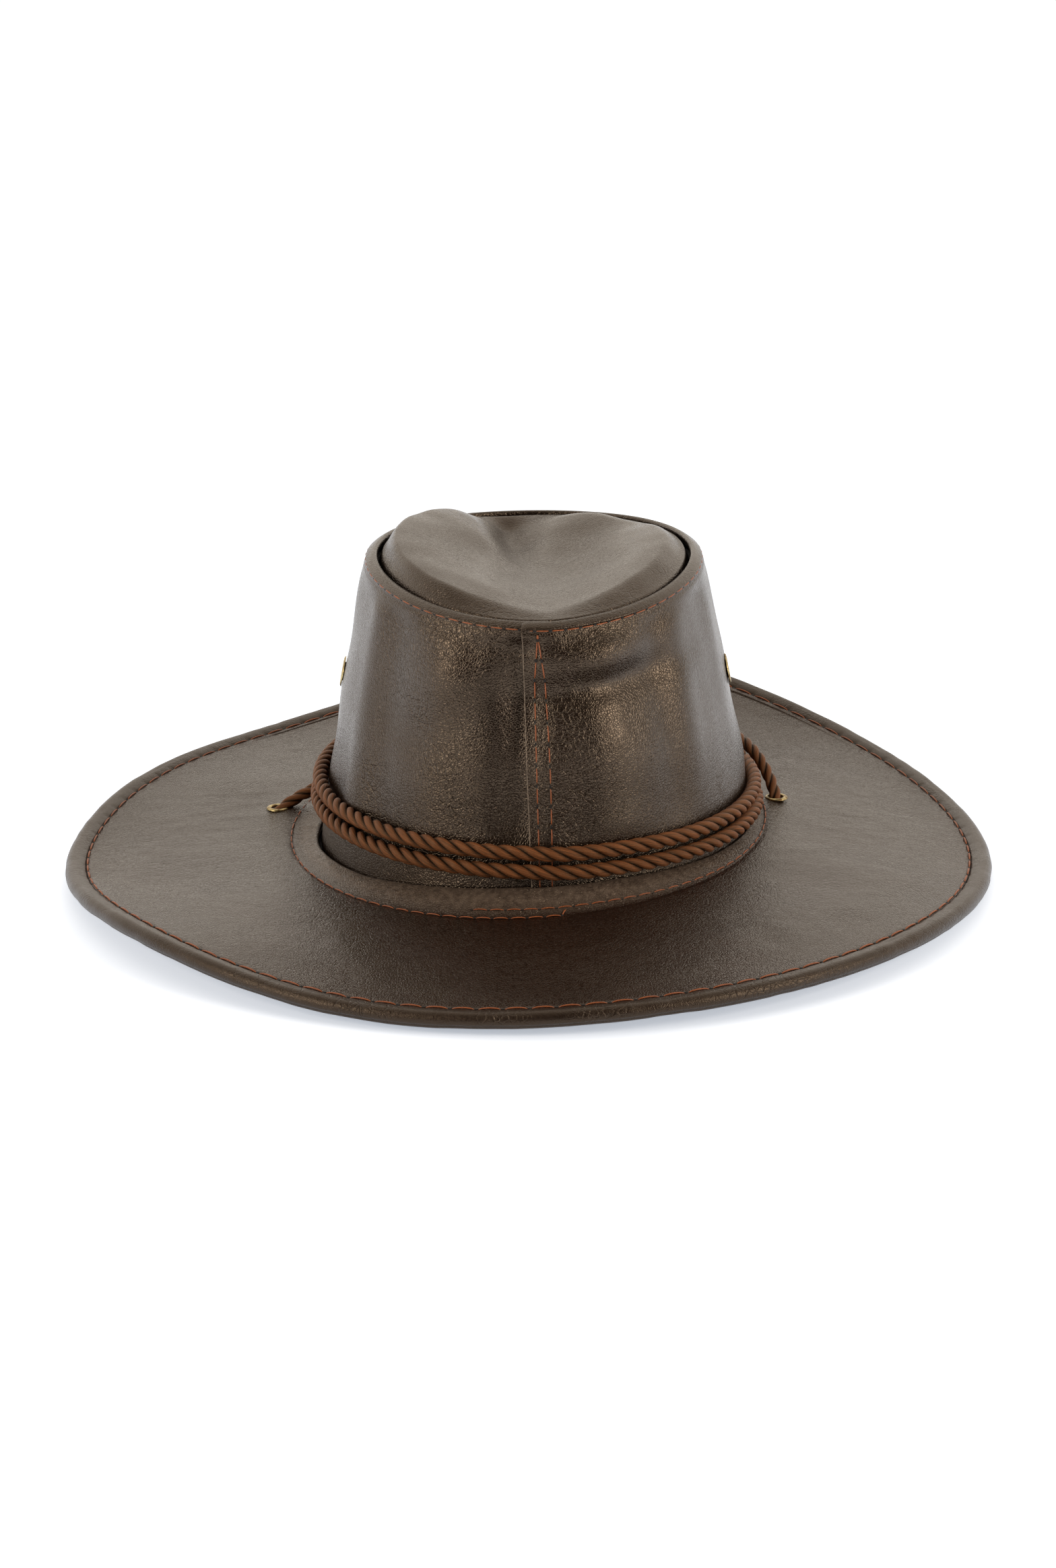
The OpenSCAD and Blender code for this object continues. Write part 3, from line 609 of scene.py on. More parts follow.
# The brim's pale tone is a painted highlight, used only on the sloping flange.
BRIM_LOOK = leather("brim_leather", (0.011, 0.0042, 0.0024), (0.018, 0.008, 0.005), (0.16, 0.115, 0.085), 0.2,
                    grain=1.0 * MM, depth=0.1 * MM, relief=1.1, gloss=0.5)
EDGE_LOOK = leather("edge_leather", (0.009, 0.004, 0.0024), (0.017, 0.009, 0.006), (0.08, 0.055, 0.04), 0.31,
                    depth=0.04 * MM, relief=0.25, gloss=0.5)
UNDER_LOOK = leather("underbrim_leather", (0.022, 0.012, 0.008), (0.034, 0.02, 0.014), (0.08, 0.06, 0.05),
                     0.5)
SWEAT_LOOK = leather("sweatband_leather", (0.09, 0.04, 0.018), (0.13, 0.062, 0.03), (0.2, 0.12, 0.07), 0.5,
                     grain=0.45 * MM, depth=0.06 * MM)
# The cord's first colour is painted shade for the grooves between its strands.
CORD_LOOK = cord_fibre("twisted_cord", (0.008, 0.003, 0.0015), (0.16, 0.049, 0.0135))
THREAD_LOOK = thread_material()
HOLE_SHADE_LOOK = hole_shade_material()
BRASS_LOOK = brass_material()
WOOD_LOOK = wood_material()
LINING_LOOK = woven("lining_weave", (0.02, 0.015, 0.012), (0.05, 0.04, 0.034), 0.45 * MM)
TAPE_LOOK = woven("ribbed_tape", (0.015, 0.011, 0.009), (0.04, 0.03, 0.025), 0.9 * MM)


# --- Cords -------------------------------------------------------------------------------------
def band_points(turn):
    """The hat cord's line, turned that many degrees round from its low end."""
    a = np.radians(BAND_START - turn)
    v = wall_v(a, BAND_LOW + BAND_PITCH * turn / 360)
    return wall_point(a, v, BAND_D / 2 + 0.4 * MM + lap_at(a))


def smooth_line(points, step):
    """An even, smooth line through the points, by Catmull-Rom arcs."""
    p = np.concatenate([2 * points[:1] - points[1:2], points, 2 * points[-1:] - points[-2:-1]])
    t = np.linspace(0, 1, 24, endpoint=False)[:, None]
    arcs = [2 * b + (c - a) * t + (2 * a - 5 * b + 4 * c - d) * t ** 2 + (3 * b - a - 3 * c + d) * t ** 3
            for a, b, c, d in zip(p, p[1:], p[2:], p[3:])]
    line = np.concatenate([0.5 * arc for arc in arcs] + [p[-2:-1]])
    along = np.concatenate([[0], np.cumsum(np.linalg.norm(np.diff(line, axis=0), axis=1))])
    at = np.linspace(0, along[-1], math.ceil(along[-1] / step) + 1)
    return np.stack([np.interp(at, along, line[:, k]) for k in range(3)], 1), at


def sides_along(line):
    """Two unit directions across the line, which turn as little as they can along it."""
    tangents = unit(np.gradient(line, axis=0))
    side = np.cross(tangents[0], UP)
    sides = []
    for t in tangents:
        side = unit(side - t * (side @ t))
        sides.append(side)
    sides = np.array(sides)
    return sides, np.cross(tangents, sides)


def rings_round(centres, sizes, turn, first, second):
    """Closed rings of points, one round each centre; first and second are their two directions."""
    spokes = np.cos(turn)[None, :, None] * first + np.sin(turn)[None, :, None] * second
    return centres[:, None] + sizes[:, None, None] * spokes


def twisted_cord(line, at, diameter, phase):
    """Three round strands laid up along the line, as points, faces and the values of their fibres."""
    sides, tops = sides_along(line)
    strand_r = STRAND_SHARE * diameter
    offset = 0.5 * diameter - strand_r
    parts, values = [], {}
    for k in range(3):
        turn = phase + k * TAU / 3
        outward = np.cos(turn)[:, None] * sides + np.sin(turn)[:, None] * tops
        centre = line + offset[:, None] * outward
        axis = unit(np.gradient(centre, axis=0))
        sideways = unit(np.cross(axis, outward))
        out = np.cross(sideways, axis)
        b = ring_angles(STRAND_SIDES) + math.pi / STRAND_SIDES
        rings = rings_round(centre, strand_r, b, -out[:, None], 1.06 * sideways[:, None])
        parts.append(capped_tube(rings))
        # groove is 0 on a strand's inner side and 1 on its outer side; the cord's material paints shade where
        # it is low.
        fibres = {"across": b - 1.24 * phase[:, None], "along": at[:, None], "strand": k,
                  "groove": (1 - np.cos(b)) / 2}
        for key, made in fibres.items():
            values.setdefault(key, []).append(np.append(np.broadcast_to(made, rings.shape[:2]), [0, 0]))
    return joined(parts), {key: np.concatenate(kept) for key, kept in values.items()}


def make_cords():
    """The one long cord: left half, hat cord and right half, cut where the CAD part cuts it."""
    turns = np.arange(0, BAND_TURN + 1, BAND_STEP)
    band = band_points(turns.astype(float))
    left, right = np.array(LEFT_ROUTE) / 1000, np.array(RIGHT_ROUTE) / 1000
    line, at = smooth_line(np.concatenate([left[::-1], band, right]), 0.75 * MM)
    first = np.linalg.norm(line - band[0], axis=1).argmin()
    last = np.linalg.norm(line - band[-1], axis=1).argmin()
    starts, stops = at[first] + THICKENING, at[last] + THICKENING
    thick = ease(at, *starts) - ease(at, *stops)
    diameter = mix(CHIN_D, BAND_D, thick)
    lead = mix(CHIN_LEAD, BAND_LEAD, thick)
    phase = np.cumsum(np.gradient(at) * TAU / lead)
    pieces = {}
    for name, cut in (("chin_cord_left", slice(0, first + 1)), ("hat_band_cord", slice(first, last + 1)),
                      ("chin_cord_right", slice(last, len(line)))):
        (points, faces), values = twisted_cord(line[cut], at[cut], diameter[cut], phase[cut])
        pieces[name] = new_piece(name + "_rope", points, faces, CORD_LOOK, "cord", [name], values)
    return pieces, line[: first + 1][::-1], line[last:]


def make_knot():
    """The two halves knotted together: a cord along a tight trefoil."""
    t = np.linspace(0, TAU, 130)
    wide, deep = KNOT_R - KNOT_CORD_D / 2, KNOT_L / 2 - 1.6 * MM
    x = RUN_X + wide * (np.sin(t) + 1.4 * np.sin(2 * t)) / 2.3
    z = KNOT_R + wide * (np.cos(t) - 1.4 * np.cos(2 * t)) / 2.4
    y = KNOT_Y - deep * np.sin(3 * t)
    line, at = smooth_line(points_of(x, y, z), 0.6 * MM)
    (points, faces), values = twisted_cord(line, at, np.full(len(line), KNOT_CORD_D), at * TAU / KNOT_LEAD)
    points[:, 2] = np.maximum(points[:, 2], 0.1 * MM)
    return new_piece("knot_rope", points, faces, CORD_LOOK, "cord", ["chin_knot"], values)


def whipping_rings(end):
    """The thread wound round a cord's end, turn beside turn."""
    y = np.linspace(0, WHIPPING_L, 34)
    ribbed = CHIN_D / 2 + 0.1 * MM + 0.16 * MM * np.abs(np.sin(y / WHIPPING_PITCH * math.pi / 2))
    return rings_round(points_of(end[0], end[1] + 1.4 * MM - y, end[2]), ribbed, ring_angles(20), ACROSS, UP)


def filament_rings(end, rng):
    """One loose filament of a tuft: it flares out and bends a little to one side."""
    spot = rng.uniform(0, 1) ** 0.5 * (CHIN_D / 2 - 0.3 * MM)
    turn = rng.uniform(0, TAU)
    flare = 1.25 + rng.uniform(-0.12, 0.12)
    t = np.linspace(0, 1, 6)
    off = mix(spot, spot * flare, t ** 1.5)
    bend = turn + 0.25 * t * rng.uniform(-1, 1)
    y = end[1] - 1.2 * MM - rng.uniform(3.2, 4.6) * MM * t
    middle = points_of(end[0] + off * np.cos(bend), y, end[2] + off * np.sin(bend))
    return rings_round(middle, FILAMENT_R * (1 - 0.5 * t), ring_angles(5), ACROSS, UP)


def make_tails():
    """The whipped ends: twisted cord, a thread whipping, and a short tuft of loose filaments."""
    rng = np.random.default_rng(5)
    cords, whips, tufts, values = [], [], [], []
    for side in (-1, 1):
        x = RUN_X + side * (3.2 + 0.3 * np.linspace(0, 1, 6)) * MM
        y = KNOT_Y - KNOT_L / 2 + 2 * MM - TAIL_L * 0.62 * np.linspace(0, 1, 6)
        line, at = smooth_line(points_of(x, y, CHIN_D / 2 + 0.6 * MM), 0.6 * MM)
        made, extra = twisted_cord(line, at, np.full(len(line), CHIN_D), at * TAU / CHIN_LEAD + side)
        cords.append(made)
        values.append(extra)
        whips.append(capped_tube(whipping_rings(line[-1])))
        tufts += [capped_tube(filament_rings(line[-1], rng)) for _ in range(TUFT_FILAMENTS)]
    values = {key: np.concatenate([v[key] for v in values]) for key in values[0]}
    tails = new_piece("tail_ropes", *joined(cords), CORD_LOOK, "cord", ["chin_tails"], values)
    whipping = new_piece("tail_whipping", *joined(whips), THREAD_LOOK, "thread")
    points, faces = joined(tufts)
    # The tufts' groove of 0.8 leaves them almost free of the painted groove shade.
    fibres = {"groove": np.full(len(points), 0.8), "along": points[:, 1], "across": points[:, 0] * 4000}
    return tails, whipping, new_piece("tail_tufts", points, faces, CORD_LOOK, "cord", attributes=fibres)


def make_slider():
    """The flat wooden bead: soft ends, two shallow grooves and two bores."""
    rows, half = np.linspace(-1, 1, 49), SLIDER_L / 2
    ends = np.maximum(0, (np.abs(rows) * half - half) / MM + 1) ** 2
    shrink = 0.9 * MM * ends + 0.3 * MM * bell(np.abs(rows), 0.72, 0.05)
    b = ring_angles(64) + math.pi / 64
    r = (SLIDER_R - shrink)[:, None]
    x = RUN_X + np.sign(np.cos(b)) * RUN_HALF + r * np.cos(b)
    rings = points_of(x, (SLIDER_Y + rows * half)[:, None], RUN_Z + r * np.sin(b))
    bead = new_piece("wooden_bead", *capped_tube(rings), WOOD_LOOK, "slider_wood", ["chin_slider"],
                     body="slider")
    for run in (-RUN_HALF, RUN_HALF):
        bpy.ops.mesh.primitive_cylinder_add(vertices=48, radius=SLIDER_BORE, depth=SLIDER_L * 2,
                                            location=(RUN_X + run, SLIDER_Y, RUN_Z),
                                            rotation=(math.pi / 2, 0, 0))
        drill = bpy.context.object
        cut = bead.modifiers.new("bore", "BOOLEAN")
        cut.operation = "DIFFERENCE"
        cut.object = drill
        with bpy.context.temp_override(object=bead, active_object=bead):
            bpy.ops.object.modifier_apply(modifier=cut.name)
        bpy.data.objects.remove(drill)


# --- Leather shells ----------------------------------------------------------------------------
def brim_relief(points):
    """Slow undulations and faint wrinkles of the brim's leather."""
    wrinkles = (1 - np.abs(ripples(points, 0.03, 11))) * np.clip(ripples(points, 0.09, 12) - 0.3, 0, 1)
    fine = ripples(points * (1, 2.2, 1), 0.022, 13) * ease(ripples(points, 0.08, 14), -0.6, 1.2)
    return MM * (0.22 * ripples(points, 0.07, 10) + 0.14 * wrinkles + 0.05 * fine)


def opening_gap(a):
    """How far the brim's opening stands off the crown's base; it gapes a little at the left."""
    return 0.2 * MM + lap_at(a) + 1.4 * MM * near(a, -168, 18)


def in_metres(pairs):
    """The two columns of (out, up) pairs in millimetres."""
    return np.array(pairs).T * MM


def brim_sheet(a, t, s, up):
    """One face from the opening's edge out over the flange and the brim."""
    return np.concatenate([flange_point(a, t, opening_gap(a), up), brim_point(a, s, up)], 1)


def skin_rows(a, t, side):
    """A brim leather's hidden face, over the stiffener where side is 1 and under it where it is -1."""
    return [brim_sheet(a, t, SKIN_ROWS, side * BRIM_SKIN), edge_point(a, SKIN_REACH, side * SKIN_EDGE)]


def make_brim_top():
    """The top leather: flange, ring groove, field, and the stitched groove beside the rolled edge."""
    a = ring_angles(760)[:, None]
    t = np.concatenate([[0, 0.03, 0.07], np.linspace(0.12, 0.97, 12)])[None]
    sunk = 0.5 * bell(t, 0, 0.04) + 0.45 * bell(t, 1, 0.09)
    flange = flange_point(a, t, opening_gap(a), BRIM_FACE - MM * sunk)
    s = np.concatenate([[0, 0.008, 0.018, 0.03], np.linspace(0.045, 0.88, 44)])[None]
    field = brim_point(a, s, BRIM_FACE - 0.5 * MM * bell(s, 0, 0.011))
    out, dip = in_metres(TOP_GROOVE)
    top = np.concatenate([flange, field, edge_point(a, out[None], BRIM_FACE + dip[None])], 1)
    top[..., 2] += brim_relief(top) * ease(np.arange(top.shape[1]), 62, 52)
    sections = closed([top], skin_rows(a, t[:, ::3], 1))
    # Painted highlight: the sloping flange is coloured paler near the crown, fading out at the stitched ring,
    # for the light it catches.
    wear = np.zeros(sections.shape[:2])
    wear[:, : flange.shape[1]] = 0.65 * ease(t, 1, 0.35)
    ring_piece("brim_top_leather", sections, BRIM_LOOK, "brim_leather", ["brim_top"], {"wear": wear})


def make_brim_bottom():
    """The under leather, flat, with the same stitched groove beside the rolled edge."""
    a = ring_angles(480)[:, None]
    t, s = np.linspace(0, 0.95, 9)[None], np.linspace(0, 0.93, 34)[None]
    face = brim_sheet(a, t, s, -BRIM_FACE)
    face[..., 2] += 0.5 * brim_relief(face + 0.5) - 0.05 * MM
    out, rise = in_metres(UNDER_GROOVE)
    edge = edge_point(a, out[None], rise[None] - BRIM_FACE)
    sections = closed([face, edge], skin_rows(a, t, -1))
    ring_piece("brim_under_leather", sections, UNDER_LOOK, "underbrim_leather", ["brim_bottom"])


def make_brim_roll():
    """The hem folded round the edge wire: it swells softly from the stitches and puckers at each."""
    a = ring_angles(10 * EDGE_STITCHES)[:, None]
    degrees = np.linspace(100, -100, 25)
    round_part = ROLL_R * np.stack([np.cos(np.radians(degrees)), np.sin(np.radians(degrees))], 1)
    out, up = np.concatenate([np.array(HEM_TOP) * MM, round_part, np.array(HEM_LOW) * MM]).T[:, None]
    place = edge_point(a, out, up)
    puff = 0.08 * MM * ripples(place, 0.028, 21) + 0.035 * MM * ripples(place, 0.009, 22)
    pucker = 0.3 * MM * bell((a / EDGE_PITCH + 0.5) % 1 - 0.5, 0, 0.13) * bell(out, -4.9 * MM, 1.9 * MM)
    fold = np.pad(0.35 * MM * bell(degrees, -32, 8), len(HEM_TOP))[None]
    shrink = 1 + (np.clip(puff, -0.4 * MM, 0.05 * MM) - fold) / ROLL_R * (out > -2 * MM)
    sections = edge_point(a, out * shrink, up * shrink - np.sign(up) * pucker)
    # The roll's upper side is a little paler near its outermost line.
    wear = 0.15 * bell(out, 0, 2.5 * MM) * (up > 0) * np.ones_like(a)
    ring_piece("rolled_edge", sections, EDGE_LOOK, "edge_leather", ["brim_edge_roll"], {"wear": wear})


def make_stiffener():
    """The fibre board between the brim's two leathers."""
    a = ring_angles(360)[:, None]
    t, s = np.linspace(0.03, 1, 8)[None], np.linspace(0.04, 0.94, 12)[None]
    sections = closed([brim_sheet(a, t, s, BOARD_HALF)], [brim_sheet(a, t, s, -BOARD_HALF)])
    ring_piece("stiffener_board", sections, board_material(), "stiffener", ["brim_core"])


def make_under_tape():
    """The flat ribbed tape under the brim, out to the stitched ring."""
    a = ring_angles(480)[:, None]
    t = np.linspace(0, 1, 8)[None]
    inner, outer = opening_point(a, -3 * MM), brim_point(a, 0.03)
    face = inner * (1 - t[..., None]) + outer * t[..., None]
    drop = BRIM_FACE + 0.15 * MM
    hang = drop + TAPE_T + 0.1 * MM * np.sin(t * math.pi) - 0.05 * MM * ripples(face, 0.02, 31)
    sections = closed([face - UP * drop], [face - UP * hang[..., None]])
    ring_piece("under_brim_tape", sections, TAPE_LOOK, "tape", ["brim_under_tape"])


def wall_surface(a, v, off):
    """The wall's outer face with its relief."""
    return wall_point(a, v, off + wall_relief(a, v))


def make_crown_wall():
    """The crown's wall as one strip that overlaps itself at the back seam, with the rolled rim ridge."""
    past = np.concatenate([[0, 0.18, 0.42], np.linspace(0.9, 360 + LAP_WIDTH, 620)])[:, None]
    off = lap_off(past) + 0.35 * MM * bell(past, 0, 1.2)
    top = np.radians(LAP_START - LAP_LEAN + past)
    v, v_in = np.linspace(0, 0.965, 74)[None], np.linspace(0.95, 0, 40)[None]
    outer = wall_surface(top + np.radians(LAP_LEAN) * (1 - v), v, off)
    inner = wall_surface(top + np.radians(LAP_LEAN) * (1 - v_in), v_in, off - CROWN_LEATHER)
    out, up = in_metres(RIM_RIDGE)
    rim = wall_point(top, 1.0, off + out[None], up[None] - 0.5 * MM * bell(past, 0, 0.8))
    sections = np.concatenate([outer, rim, inner], 1)
    rows, columns = sections.shape[:2]
    wear = np.zeros((rows, columns))
    wear[:2, : outer.shape[1]] = 1
    caps = strip_caps(rows, columns, outer.shape[1] + len(out) // 2)
    new_piece("crown_wall_leather", sections, [grid_faces(rows, columns, False, True), *caps], CROWN_LOOK,
              "crown_leather", ["crown_side"], {"wear": wear})


def strip_caps(rows, columns, half):
    """Closes both ends of a strip of thin closed sections, pairing its outside with its inside."""
    outside = np.arange(half)
    inside = np.round(np.linspace(columns - 1, half, half)).astype(int)
    faces = []
    for first in (0, (rows - 1) * columns):
        for j in range(half - 1):
            corners = [outside[j], outside[j + 1], inside[j + 1], inside[j]]
            faces.append([first + c for c in dict.fromkeys(corners)])
    quads = [f for f in faces if len(f) == 4]
    triangles = [f for f in faces if len(f) == 3]
    return [np.array(f) for f in (quads, triangles) if f]


def make_crown_tip():
    """The sculpted top panel, with small folds running out of the pinch."""
    a = ring_angles(360)[None]
    r = np.concatenate([np.linspace(0.012, 0.92, 68), np.linspace(0.93, 1.0, 14)])[:, None]
    top = tip_point(a, r)
    folds = 0.12 * ripples(top, 0.022, 41) * ease(r, 0.1, 0.3) + 0.25 * ripples(top, 0.05, 42)
    top[..., 2] += MM * folds * ease(r, 1, 0.9)
    low = tip_point(a, np.linspace(1.0, 0.012, 14)[:, None], -1.3 * MM)
    panel = capped_tube(np.concatenate([top, low]))
    new_piece("crown_top_leather", *panel, CROWN_LOOK, "crown_leather", ["crown_tip"])


def lining_rings(extra):
    """One face of the lining: a roof that sags from the top panel, and sides gathered in pleats."""
    a = ring_angles(360)[None]
    roof = tip_point(a, np.linspace(0.012, 0.86, 24)[:, None], -3.4 * MM - extra)
    roof[..., 2] -= 0.4 * MM * np.abs(ripples(roof, 0.03, 51))
    v = np.linspace(0.9, 0.06, 40)[:, None]
    pleats = 0.35 * MM * (1 + np.sin(44 * a + 2 * np.sin(3 * a))) * (1 - 0.7 * v)
    return np.concatenate([roof, wall_surface(a, v, -LINING_IN - extra - pleats)])


def make_lining():
    """The woven lining bag, gathered in soft pleats where it meets the sweatband."""
    bag = capped_tube(np.concatenate([lining_rings(0.0), lining_rings(0.45 * MM)[::-1]]))
    new_piece("lining_bag", *bag, LINING_LOOK, "lining", ["crown_lining"])


def make_sweatband():
    """The leather sweatband, with a rounded top edge that leans in with the wall."""
    a = ring_angles(480)[:, None]
    high = SWEAT_H / CROWN_H
    v = np.linspace(0, high, 22)[None]
    waviness = 0.25 * MM * ripples(wall_point(a, v, 0.0), 0.05, 61) * ease(v, 0.05, 0.2)
    crease = 0.3 * MM * bell(v, high * 0.9, 0.01)
    outer = wall_surface(a, v, -SWEAT_IN)
    inner = wall_surface(a, v, -SWEAT_IN - SWEAT_T + crease + waviness)
    rim = wall_surface(a, high + 0.004 + 0 * a, -SWEAT_IN - SWEAT_T / 2)
    sections = closed([outer, rim], [inner])
    ring_piece("sweatband_leather", sections, SWEAT_LOOK, "sweatband_leather", ["sweatband"])


# --- Brass -------------------------------------------------------------------------------------
def eyelet_profile(bore, flange, lip, depth):
    """A rolled flange on a thin barrel, as a closed outline of (radius, height)."""
    barrel = bore + EYELET_WALL
    middle = (bore + flange) / 2
    half_turn = np.linspace(0, math.pi, 15)
    roll = [(middle + (flange - middle) * math.cos(t), lip * math.sin(t)) for t in half_turn]
    return [(barrel, -depth), (barrel, 0), *roll, (bore, -depth)]


def washer_profile(bore, flange):
    """A flat washer with a soft rim, as a closed outline of (radius, height)."""
    start = bore + EYELET_WALL + 0.05 * MM
    return [(start, 0), (flange - 0.1 * MM, 0), (flange, 0.12 * MM), (flange - 0.15 * MM, 0.35 * MM),
            (mix(start, flange, 0.6), WASHER_H), (start, WASHER_H * 0.8)]


def brass_piece(name, node, profile, matrix):
    points, faces = revolved(profile)
    placed = np.array([matrix @ Vector(p) for p in points])
    new_piece(name, placed, faces, BRASS_LOOK, "brass", [node])


def raised(up):
    return Matrix.Translation((0, 0, up))


def make_brass():
    """Two eyelets on the brim and two vents in the wall, each with a washer at its back."""
    seat = BRIM_FACE + SEAT_GAP
    for side, (angle, s) in (("left", LEFT_EYELET), ("right", RIGHT_EYELET)):
        middle = Matrix.Translation(brim_point(np.radians(angle), s).tolist())
        barrel = eyelet_profile(BRIM_BORE, BRIM_FLANGE, 0.9 * MM, 2 * seat + WASHER_H)
        brass_piece(f"eyelet_{side}", f"brim_eyelet_{side}", barrel, middle @ raised(seat))
        brass_piece(f"eyelet_washer_{side}", f"brim_washer_{side}", washer_profile(BRIM_BORE, BRIM_FLANGE),
                    middle @ raised(-seat - WASHER_H))
    for side, a in (("left", math.pi), ("right", 0.0)):
        lean = math.radians(90 - VENT_TILT) * math.cos(a)
        spot = Matrix.Translation(wall_point(a, wall_v(a, VENT_H), 0.0).tolist())
        place = spot @ Matrix.Rotation(lean, 4, "Y")
        barrel = eyelet_profile(VENT_BORE, VENT_FLANGE, 0.8 * MM, CROWN_LEATHER + 0.9 * MM)
        brass_piece(f"vent_{side}", f"crown_vent_{side}", barrel, place @ raised(0.1 * MM))
        brass_piece(f"vent_back_washer_{side}", f"vent_washer_{side}",
                    washer_profile(VENT_BORE, VENT_FLANGE - 0.7 * MM),
                    place @ raised(-CROWN_LEATHER - WASHER_H - 0.3 * MM))


# --- Stitching ---------------------------------------------------------------------------------
def stitch_tube(start, end, lift, thread, arch):
    """One stitch: a thread that comes out of the leather at start, arches over it and goes in at end."""
    t = np.linspace(0, 1, 9)
    swell = np.sin(t * math.pi)
    height = arch * swell ** 0.6 - 0.35 * thread * (1 - swell ** 0.5)
    line = start + (end - start) * t[:, None] + lift * height[:, None]
    side = unit(np.cross(lift, end - start))
    size = thread / 2 * (0.55 + 0.45 * swell ** 0.4)
    return capped_tube(rings_round(line, size, ring_angles(8), side, 0.8 * lift))


def needle_hole_shade(place, along, lift):
    """Painted shade of the small pit where the thread enters the leather: a flat dark oval just over its
    surface.
    """
    t = np.linspace(0.15, math.pi - 0.15, 5)
    line = place + HOLE_R * 1.3 * np.cos(t)[:, None] * along
    side = np.cross(lift, along)
    return capped_tube(rings_round(line, HOLE_R * np.sin(t), ring_angles(8), side, 0.16 * lift))


def make_stitching(name, node, rows, thread, arch, fill):
    """Threads of that width and arch along rows of (points, outward directions), and flat ovals of painted
    shade at the needle holes.
    """
    threads, holes = [], []
    for points, lifts in rows:
        for p, q, lift in zip(points[:-1], points[1:], lifts):
            gap = (q - p) * (1 - fill) / 2
            threads.append(stitch_tube(p + gap, q - gap, lift, thread, arch))
            # Painted shade: a flat dark oval at each needle hole.
            holes.append(needle_hole_shade(p - lift * 0.02 * MM, unit(q - p), lift))
    new_piece(name, *joined(threads), THREAD_LOOK, "thread", [node])
    new_piece(name + "_holes", *joined(holes), HOLE_SHADE_LOOK, "thread")


def outward_of(a):
    """Unit directions out of the crown's wall at angles a, in plan and leaning up with the wall."""
    out = unit(points_of(np.cos(a) / CROWN_BASE[0], np.sin(a) / CROWN_BASE[1], 0 * a))
    return out * math.cos(math.radians(VENT_TILT)) + UP * math.sin(math.radians(VENT_TILT))


def make_brim_stitching():
    """The row beside the rolled edge, and the ring's row, whose last stitch crosses to its start."""
    a = np.arange(EDGE_STITCHES + 1) * EDGE_PITCH
    edge = edge_point(a, -EDGE_STITCH_IN, BRIM_FACE - 0.12 * MM)
    make_stitching("edge_threads", "brim_edge_stitching", [(edge, [UP] * len(edge))],
                   thread=0.75 * MM, arch=0.35 * MM, fill=0.84)
    past = np.linspace(0, RING_TURN, RING_STITCHES + 1)
    a = np.radians(RING_FROM + past)
    t = 1 - 0.3 * ease(past, 110, 25)
    ring = flange_point(a, t, opening_gap(a), BRIM_FACE - 0.3 * MM * bell(t, 1, 0.09))
    last = flange_point(a[-1:] + 0.012, np.array([0.76]), opening_gap(a[-1:]), BRIM_FACE)
    ring = np.concatenate([ring, last])
    make_stitching("ring_threads", "brim_ring_stitching", [(ring, [UP] * len(ring))],
                   thread=0.6 * MM, arch=0.3 * MM, fill=0.88)


def seam_row(low, high, bow, join):
    """One row through the lap, as points and outward directions; it bends to the other at the top."""
    count = int((CROWN_H - SEAM_FROM - TOP_STITCH_DOWN) / SEAM_PITCH) + 1
    v = np.append((SEAM_FROM + np.arange(count) * SEAM_PITCH) / CROWN_H, SEAM_TOP_V)
    past = mix(low, high, v) + bow * 4 * v * (1 - v) + join * ease(v, 0.78, SEAM_TOP_V)
    a = np.radians(LAP_START - LAP_LEAN * v + past)
    return wall_surface(a, v, LAP_STEP + 0.35 * MM * bell(v, 0.87, 0.06)), outward_of(a)


def make_crown_stitching():
    """The row under the rim ridge, the two rows of the back seam, and the sweatband's row."""
    a = np.arange(TOP_STITCHES + 1) * TAU / TOP_STITCHES
    down = TOP_STITCH_DOWN + 0.7 * MM * near(a, -70, 25)
    top = wall_point(a, 1.0, lap_at(a, 1.0) + 0.12 * MM, -down)
    make_stitching("top_threads", "crown_top_stitching", [(top, outward_of(a))],
                   thread=0.52 * MM, arch=0.22 * MM, fill=0.84)
    rows = [seam_row(*row) for row in SEAM_ROWS]
    make_stitching("seam_threads", "back_seam_stitching", rows, thread=0.5 * MM, arch=0.2 * MM, fill=0.8)
    a = np.arange(SWEAT_STITCHES + 1) * TAU / SWEAT_STITCHES
    inside = wall_point(a, SWEAT_STITCH_UP / CROWN_H, -SWEAT_IN - SWEAT_T)
    make_stitching("sweatband_threads", "sweatband_stitching", [(inside, -outward_of(a))],
                   thread=0.6 * MM, arch=0.25 * MM, fill=0.8)


# --- Camera, light and floor -------------------------------------------------------------------
# How high the camera stands round its aim, how far over the aim it looks, and its roll
CAMERA_UP, CAMERA_TIP, CAMERA_ROLL = np.radians([17.41, 0.562, -0.435])
CAMERA_FAR, CAMERA_LENS = 1.65, 92.9
CAMERA_AIM = Vector((0, 8 * MM, BASE_Z))
WARM_WHITE = (1.0, 0.925, 0.82)
# The sky's brightness as (place from behind the camera, 0, to behind the hat, 1; brightness)
SKY = [(0.0, 0.03), (0.22, 0.1), (0.42, 0.5), (0.56, 0.78), (0.76, 1.2), (1.0, 1.18)]


